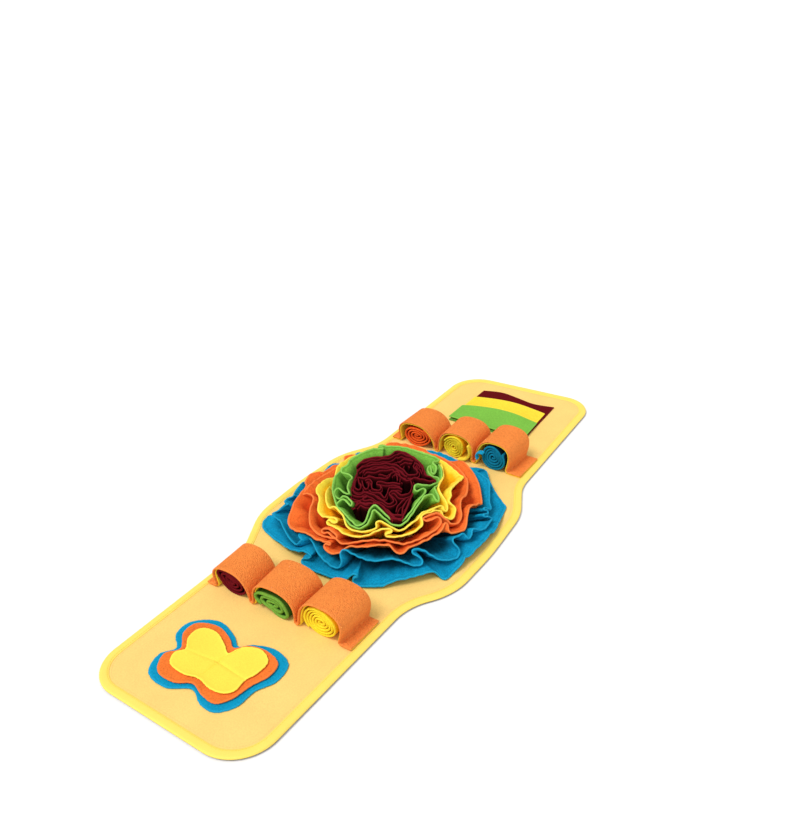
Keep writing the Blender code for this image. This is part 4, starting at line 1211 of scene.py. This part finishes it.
# Hollows pressed into a ruffle and those beneath it, which also take painted shade: depth and
# reach in millimetres, then a line of places in the camera's frame with the cloth's height there in
# millimetres
DENTS = {
    "ruffle_blue_lower": ((10.0, 4.5, (469, 552, 13), (475, 548, 15)),),
    "ruffle_blue_upper": (
        (12.0, 6.5, (279, 518, 12), (286, 528, 16), (296, 541, 16)),
        (11.0, 5.0, (482, 510, 26), (488, 511, 26)),
    ),
    "ruffle_orange_outer": (
        (7.0, 7.0, (298, 502, 29), (304, 502, 30)), (6.0, 6.0, (300, 526, 18), (309, 526, 19)),
        (8.0, 4.5, (473, 498, 26), (474, 504, 26)),
    ),
    "ruffle_orange_inner": (
        (6.0, 6.0, (318, 521, 28), (323, 524, 28)), (7.0, 5.0, (460, 500, 42), (462, 512, 38)),
    ),
    "ruffle_yellow_outer": ((7.0, 5.0, (451, 476, 37), (453, 481, 37)),),
    "ruffle_yellow_inner": (
        (6.0, 5.0, (443, 496, 50), (443, 500, 49)), (6.0, 5.0, (447, 507, 44), (449, 509, 43)),
    ),
    "ruffle_green_inner": (
        (6.0, 5.0, (341, 494, 47), (343, 497, 47)), (5.0, 4.0, (340, 505, 48), (343, 505, 48)),
    ),
}

# Tucks of the burgundy middle: height in millimetres and ridge lines in the camera's frame
TUCKS = {
    "ruffle_burgundy_second": (
        (61.5, ((356.5, 466), (361, 463), (369, 460.5), (377.5, 459.5), (385, 458.5), (392, 457),
                (396.5, 454.5))),
        (61.5, ((396, 454.5), (402, 453.5), (410, 456.5), (417, 460.5), (421, 465.5), (423, 471))),
        (61, ((358, 470.5), (361, 468), (367.5, 465.5), (375, 464.5), (382.5, 463.5), (390, 463.5),
              (396, 465), (401.5, 468), (405.5, 472), (410, 475), (415, 474.5), (417.5, 472),
              (415.5, 469), (413.5, 466), (415.5, 463.5), (419, 465), (420, 468))),
        (60.5, ((363, 472.5), (365, 470), (371, 469), (379, 468), (386.5, 467.5), (394, 467.5),
                (398, 470), (402.5, 473.5), (407, 476.5))),
        (61, ((399, 462), (404, 459.5), (409.5, 459.5), (413, 461))),
    ),
    "ruffle_burgundy_third": (
        (59, ((359, 477.5), (365, 477.5), (371, 476.5), (377.5, 477.5), (384, 478.5), (388.5, 477),
              (391.5, 473), (395, 471), (398.5, 472.5), (401.5, 477.5), (406, 479.8), (412, 479),
              (415, 477.5), (421.5, 479), (427.5, 480.5), (434, 480))),
        (58.5, ((394, 476), (395.5, 474), (397, 476), (397.5, 480))),
        (57.5, ((358, 477.5), (359, 482.5), (361, 486.5), (358.5, 489.5), (355.5, 488.5),
                (354.8, 483.5), (356.5, 479.5))),
        (57.5, ((365.5, 480.5), (369.5, 479), (372, 482), (371.5, 486), (373.5, 489.5), (378, 490.2),
                (381, 488), (380, 485.5), (377, 484), (377.5, 481.5), (382.5, 482), (390, 482.7),
                (400, 483.2))),
        (57, ((362, 481), (363.5, 486), (366, 489.5), (368.5, 486), (368, 482.5))),
    ),
    "ruffle_burgundy_centre": (
        (56.5, ((352.5, 490), (355, 493), (360, 494), (365, 492.5), (370, 493), (375, 495.5),
                (380, 498.8), (385, 502), (390, 503.5), (393.5, 501.8), (392.8, 498), (389.8, 495),
                (389.4, 492.2), (392.8, 490.6), (397.5, 492.2), (402.5, 495), (407.5, 493.8),
                (411, 490), (412.2, 484.4), (410, 480.2))),
        (55.5, ((353, 495), (357.5, 497), (362.5, 496.2), (367.5, 496.8), (362.5, 498.8), (365, 500),
                (371.2, 500.2), (377.5, 503), (383, 506.5), (388.8, 511), (395, 514.8), (401.5, 514.8))),
        (54.5, ((354, 501), (358.5, 501.5), (361.5, 500))),
        (54, ((355.5, 505.5), (360, 502.8), (365, 504.5), (370, 504), (375, 503.2), (380, 505.5),
              (385, 509.5), (390, 513.5), (395, 516.8))),
        (55, ((396, 511), (398, 505.5), (401, 502), (405, 499.5))),
        (54.5, ((402, 513.5), (403, 507), (406, 502), (409, 498))),
        (56, ((376, 492), (381, 494), (385, 497.5), (387, 493.5), (390, 487.5), (396, 487), (402, 489))),
    ),
}
TUCK_DEPTHS = (22.0, 16.0, 11.0, 7.5, 4.8, 2.6, 1.1, 0.0)  # millimetres below the ridge
TUCK_RIDGE = 1.2 * MM
TUCK_SPREAD = 3.4 * MM  # how much thicker its root is
# How far out and how much lower each layer of a tuck lies, in millimetres
TUCK_LAYERS = {
    "ruffle_burgundy_second": ((0.0, 0.0), (-2.8, 2.8), (-5.8, 7.0)),
    "ruffle_burgundy_third": ((0.0, 0.0), (2.6, 3.0)),
    "ruffle_burgundy_centre": ((0.0, 0.0), (2.6, 3.0)),
}
TUCK_STEP = 1.4 * MM  # between the points of a ridge
TUCK_DRAW = 5.0 * MM  # over what length its root is evened out
TUCK_WAVE = 0.7 * MM
TUCK_WAVE_RATE = 0.55  # radians from one point to the next
TUCK_WANDER = 0.45  # how unevenly the layers lie apart
TUCK_WANDER_RATE = 0.23
BED_REACH = 46.0 * MM
BED_HEIGHT = 35.0 * MM
BED_WAVES = 3.0 * MM
BED_WAVE_SIZE = 14.0 * MM
BED_POINTS = 40

camera_back = np.array((
    math.sin(CAMERA_AZIMUTH) * math.cos(CAMERA_ELEVATION),
    -math.cos(CAMERA_AZIMUTH) * math.cos(CAMERA_ELEVATION),
    math.sin(CAMERA_ELEVATION),
))
level = np.array((math.cos(CAMERA_AZIMUTH), math.sin(CAMERA_AZIMUTH), 0.0))
upright = np.cross(camera_back, level)
camera_right = level * math.cos(CAMERA_ROLL) + upright * math.sin(CAMERA_ROLL)
camera_up = upright * math.cos(CAMERA_ROLL) - level * math.sin(CAMERA_ROLL)


def placed(across, down, height):
    """The point of the mat at a height that stands at a place in the camera's frame."""
    focus = CAMERA_LENS / CAMERA_SENSOR * CAMERA_FRAME[1]
    sight = -camera_back + camera_right * (across - CAMERA_FRAME[0] / 2) / focus
    sight = sight - camera_up * (down - CAMERA_FRAME[1] / 2) / focus
    start = CAMERA_PLACE - MAT_MIDDLE
    return start + sight * (height - start[2]) / sight[2]


def dome(reach):
    """Height of the rosette's dome at a distance from its middle."""
    return np.maximum(ROSETTE_CROWN * (1 - (reach / ROSETTE_SKIRT) ** ROSETTE_FALL), LOWEST_EDGE)


def placed_on_dome(across, down):
    """The same for a place on the dome, whose height there is found step by step."""
    height = ROSETTE_CROWN * DOME_SHARE
    for _ in range(DOME_STEPS):
        spot = placed(across, down, height)
        height = DOME_SHARE * height + (1 - DOME_SHARE) * float(dome(math.hypot(spot[0], spot[1])))
    return placed(across, down, height)


def drawn_in(line, draw, closed=True):
    """The line with its folds drawn out of it, as a gathering thread draws a seam."""
    steps = np.linalg.norm(np.roll(line, -1, axis=0) - line, axis=1)
    if not closed:
        steps[-1] = 0
    along = np.concatenate(([0.0], np.cumsum(steps)[:-1]))
    apart = np.abs(along[:, None] - along[None, :])
    if closed:
        apart = np.minimum(apart, steps.sum() - apart)
    weight = np.exp(-((apart / draw) ** 2) / 2) * (steps + np.roll(steps, 1))[None, :]
    return (weight @ line) / weight.sum(axis=1)[:, None]


def free_edge(name):
    """The closed line of a ruffle's free edge. Where it turns inward it also rises."""
    seen = EDGES_SEEN[name]
    spots = []
    for across, down, *height in seen:
        spots.append(placed(across, down, height[0] * MM) if height else placed_on_dome(across, down))
    for bearing, reach, *height in EDGES_BEHIND.get(name, ()):
        turn = math.radians(bearing)
        up = height[0] * MM if height else float(dome(reach * MM))
        spots.append(np.array((reach * MM * math.cos(turn), reach * MM * math.sin(turn), up)))
    spots = np.array(spots)
    plain = drawn_in(spots, SEAM_DRAW)
    turned_in = np.hypot(plain[:, 0], plain[:, 1]) - np.hypot(spots[:, 0], spots[:, 1])
    lift = np.clip(WAVE_LIFT * turned_in, -MOST_LIFT, MOST_LIFT)
    for k, (across, down, *height) in enumerate(seen):
        spots[k] = placed(across, down, max(spots[k, 2] + lift[k], LOWEST_EDGE))
    return evenly(smooth_loop(spots, EDGE_STEPS), STATION)


def sunk(name, middle):
    """How far each point of a ruffle sinks beneath the free edges of those that lie on it, and
    into the hollows pressed into it and them."""

    def near(line, reach):
        apart = [np.linalg.norm(row[:, None] - line[None], axis=2).min(axis=1) for row in middle[..., :2]]
        return np.exp(-((np.array(apart) / reach) ** 2))

    order = list(EDGES_SEEN)
    beneath, pressed = np.zeros(middle.shape[:2]), np.zeros(middle.shape[:2])
    for above in order[order.index(name) :]:
        if above != name:
            beneath = np.maximum(beneath, SINK_DEPTH * near(free_edges[above][::3, :2], SINK_WIDTH))
        for depth, reach, *places in DENTS.get(above, ()):
            ends = [placed(across, down, height * MM)[:2] for across, down, height in places]
            line = np.vstack([np.linspace(*pair, DENT_POINTS) for pair in zip(ends, ends[1:])])
            pressed = np.maximum(pressed, depth * MM * near(line, reach * MM))
    return (beneath + pressed) * np.clip((middle[..., 2] - SEAM_HEIGHT) / SINK_HEIGHT, 0, 1)


def ruffle(name, word, material, seed):
    """A gathered strip from its seam, low on the panel, to its free edge on the rosette's dome."""
    edge = free_edges[name].copy()
    count = len(edge)
    length = float(np.linalg.norm(np.roll(edge, -1, axis=0) - edge, axis=1).sum())
    wander = EDGE_WANDER * ripple(count, length / FINE_WAVE, spread=0.4, seed=seed)
    edge[:, 2] = np.maximum(edge[:, 2] + wander, LOWEST_EDGE)
    seam = drawn_in(edge, SEAM_DRAW)
    share = np.linspace(0, 1, RUFFLE_ROWS)[:, None]
    fold = SEAM_FOLD + (1 - SEAM_FOLD) * share**SEAM_FADE
    spot = seam + (edge - seam) * fold[..., None]
    reach = np.hypot(spot[..., 0], spot[..., 1])
    top = spot[..., 2]
    turn_share, turn_rise, turn_depth = RUFFLE_TURNS[name]
    seam_out = SEAM_SHARE * reach
    seam_up = SEAM_HEIGHT + SEAM_SLANT * reach / ROSETTE_SKIRT
    turn_out = seam_out + turn_share * (reach - seam_out)
    first, second, third = (1 - share) ** 2, 2 * share * (1 - share), share**2
    out = first * seam_out + second * turn_out + third * reach
    up = first * seam_up + second * (top + turn_rise * MM) + third * top
    middle = np.dstack((spot[..., :2] * (out / reach)[..., None], up))
    columns = np.arange(count)
    broad = ripple(count, length / BROAD_WAVE, spread=0.35, seed=seed + 20)
    fine = ripple(count, length / FINE_WAVE, spread=0.4, seed=seed + 40)
    pleats = ripple(count, length / PLEAT_WAVE, spread=0.5, seed=seed + 80)
    pleats = -np.abs(pleats) ** PLEAT_ROUND
    slant = (-1) ** seed * FOLD_SLANT / (length / count)

    def slanted(waves, by):
        return np.array([np.interp(columns + by * row, columns, waves, period=count) for row in share[:, 0]])

    folds = np.clip(FOLD_MEAN + FOLD_SWING * slanted(broad, slant), 0, FOLD_MOST)
    depth = turn_depth * MM * folds + FINE_DEPTH * fine
    depth = depth + PLEAT_DEPTH * (slanted(pleats, -slant) + 0.5)
    loose = np.sin(math.pi * share) ** SLACK
    middle = middle + normals(middle, around=True) * (depth * loose)[..., None]
    sink = sunk(name, middle) * loose
    middle[..., 2] -= sink
    # Painted shade: where the cloth sinks, its colour is darkened as if shaded by the edge above.
    shade = SINK_SHADE * sink
    piece = cloth(name + "_cloth", middle, FLEECE, material, around=True, free="end", sunk=shade)
    sewn(piece, word + "_fleece", name)


def open_curve(points, steps):
    """A smooth open line through the points."""
    points = np.asarray(points, float)
    before = points[0] * 2 - points[1]
    after = points[-1] * 2 - points[-2]
    loop = smooth_loop(np.vstack((before, points, after)), steps)
    return loop[steps : steps * len(points) + 1]


def bed():
    """The bunched cloth from which the tucks rise, a wavy round of it with its thickness."""
    shares = np.linspace(-1, 1, BED_POINTS)
    u, v = np.meshgrid(shares, shares, indexing="ij")
    x, y = BED_REACH * u * np.sqrt(1 - v * v / 2), BED_REACH * v * np.sqrt(1 - u * u / 2)
    height = BED_HEIGHT + BED_WAVES * swell(x, y, BED_WAVE_SIZE, seed=90)
    return np.dstack((x, y, height)), FLEECE


def tucks(name, ridges, material):
    """The bunched middle of the burgundy ruffle: folds with round ridges and spreading roots."""
    parts, total, height = [], 0.0, TUCK_DEPTHS[0] * MM
    depths = np.array(TUCK_DEPTHS)[:, None] * MM
    shares = depths / height
    if name.endswith("centre"):
        parts.append(bed())
        total += math.pi * BED_REACH**2 / height
    for top, ridge in ridges:
        line = np.array([placed(across, down, top * MM) for across, down in ridge])
        line = evenly(open_curve(line, EDGE_STEPS), TUCK_STEP, closed=False)
        total += len(TUCK_LAYERS[name]) * line_length(line)
        root = drawn_in(line, TUCK_DRAW, closed=False)
        line[:, 2] += TUCK_WAVE * np.sin(np.arange(len(line)) * TUCK_WAVE_RATE + top)
        outward = leftward(unit(np.gradient(line[:, :2], axis=0)))
        outward *= np.sign(np.sum(outward * line[:, :2], axis=1).mean())
        for out, down in TUCK_LAYERS[name]:
            layer = line.copy()
            wander = np.sin(np.arange(len(line)) * TUCK_WANDER_RATE + top * 2.1 + out)
            layer[:, :2] += outward * (out * MM * (1 + TUCK_WANDER * wander))[:, None]
            layer[:, 2] -= down * MM
            rows = layer + (root - line) * shares[..., None]
            rows[..., 2] -= depths
            parts.append((rows, TUCK_RIDGE + TUCK_SPREAD * (shares * np.ones(len(line))) ** 0.8))
    piece = cloth(name + "_cloth", parts, None, material, free="end")
    sewn(piece, "burgundy_fleece", name)


# Painted shade in a ruffle's hollows: its colour, how far from its edge that colour is full, and
# how dark the painted shade line is just inside its edge
HOLLOW_SHADES = {
    "blue": ((0.002, 0.070, 0.125), 52 * MM, 0.25),
    "orange": ((0.600, 0.058, 0.009), 58 * MM, 0.22),
    "yellow": ((1.000, 0.520, 0.010), 26 * MM, 0.20),
    "green": ((0.085, 0.230, 0.022), 24 * MM, 0.45),
}
HOLLOW_SHADE_FROM = 3.0 * MM
# Painted shade deep in the valleys between the burgundy tucks.
TUCK_HOLLOW_SHADE = (0.016, 0.0004, 0.0008)
# Colour of each ruffle's cut edge, partly fluffed pile and partly painted highlight, and how uneven its pile
# looks
FLUFF_HIGHLIGHTS = {
    "blue": ((0.018, 0.350, 0.560), 0.32),
    "orange": ((0.960, 0.270, 0.075), 0.20),
    "yellow": ((1.000, 0.800, 0.120), 0.12),
    "green": ((0.330, 0.650, 0.140), 0.26),
    "burgundy": ((0.180, 0.0080, 0.0150), 0.40),
}
# Painted light: the ruffles' yellow is a lighter copy of the yellow fleece, to brighten it in its shade.
LIT_RUFFLE_YELLOW = (1.000, 0.725, 0.060)
# Each ruffle's cloth darkens, as painted shade, away from its edge and where it sinks.
ruffle_cloths = {}
for word, (shade_tone, shade_depth, shade_line) in HOLLOW_SHADES.items():
    fluff_highlight, mottle = FLUFF_HIGHLIGHTS[word]
    ruffle_cloths[word] = fleece(
        f"ruffle {word} fleece", LIT_RUFFLE_YELLOW if word == "yellow" else DYES[word], pill=0.9 * MM,
        relief=0.9, mottle=mottle, rim=0.55, fluff_highlight_colour=fluff_highlight, fluff_highlight_width=1.9 * MM, shade_colour=shade_tone,
        shade_from=HOLLOW_SHADE_FROM, shade_to=shade_depth, shade_line=shade_line,
    )
# The burgundy tucks: painted highlight, with fluffed pile, along their ridges and painted shade in their
# valleys.
fluff_highlight, mottle = FLUFF_HIGHLIGHTS["burgundy"]
ruffle_cloths["burgundy"] = fleece(
    "ruffle burgundy fleece", BURGUNDY, pill=0.8 * MM, relief=0.7, mottle=mottle, rim=0.9,
    fluff_highlight_colour=fluff_highlight, fluff_highlight_width=1.4 * MM, shade_colour=TUCK_HOLLOW_SHADE, shade_from=0.9 * MM,
    shade_to=6.0 * MM, sheen=0.0,
)
free_edges = {name: free_edge(name) for name in EDGES_SEEN}
for seed, name in enumerate(EDGES_SEEN):
    word = name.split("_")[1]
    ruffle(name, word, ruffle_cloths[word], RUFFLE_SEED + seed)
for name, ridges in TUCKS.items():
    tucks(name, ridges, ruffle_cloths["burgundy"])

# ---------------------------------------------------------------------------------------------
# Studio: a white floor in even light from all round, two broad lamps, of which one is stronger,
# and the camera.
# ---------------------------------------------------------------------------------------------

FLOOR = -0.9 * MM
FLOOR_REACH = 30.0
# Lights: strength, how far their light is spread in degrees, and where they shine
SUNS = {"key": (1.88, 26, (0.42, -0.20, -0.88)), "fill": (0.75, 70, (0.70, 0.55, -0.45))}

floor_mesh = bpy.data.meshes.new("floor")
corners = [(x * FLOOR_REACH, y * FLOOR_REACH, FLOOR) for x, y in ((-1, -1), (1, -1), (1, 1), (-1, 1))]
floor_mesh.from_pydata(corners, [], [(0, 1, 2, 3)])
paper, shader = new_material("white paper")
shader.inputs["Base Color"].default_value = (0.9, 0.9, 0.9, 1)
shader.inputs["Roughness"].default_value = 0.9
floor_mesh.materials.append(paper)
floor = added("floor", floor_mesh)

world = bpy.data.worlds.new("studio")
world.use_nodes = True
background = world.node_tree.nodes["Background"]
background.inputs["Color"].default_value = (1.0, 1.0, 1.0, 1)
background.inputs["Strength"].default_value = 0.60
bpy.context.scene.world = world
for name, (strength, spread, direction) in SUNS.items():
    lamp = bpy.data.lights.new(name, "SUN")
    lamp.energy = strength
    lamp.angle = math.radians(spread)
    added(name, lamp).rotation_euler = Vector(direction).to_track_quat("-Z", "Y").to_euler()
bpy.context.scene.view_settings.view_transform = "Standard"
bpy.context.scene.view_settings.look = "None"

lens = bpy.data.cameras.new("camera")
lens.lens = CAMERA_LENS
lens.sensor_width = CAMERA_SENSOR
lens.clip_end = 100.0
camera = added("camera", lens)
turned = Matrix((camera_right, camera_up, camera_back)).transposed().to_4x4()
camera.matrix_world = Matrix.Translation(CAMERA_PLACE) @ turned
bpy.context.scene.camera = camera
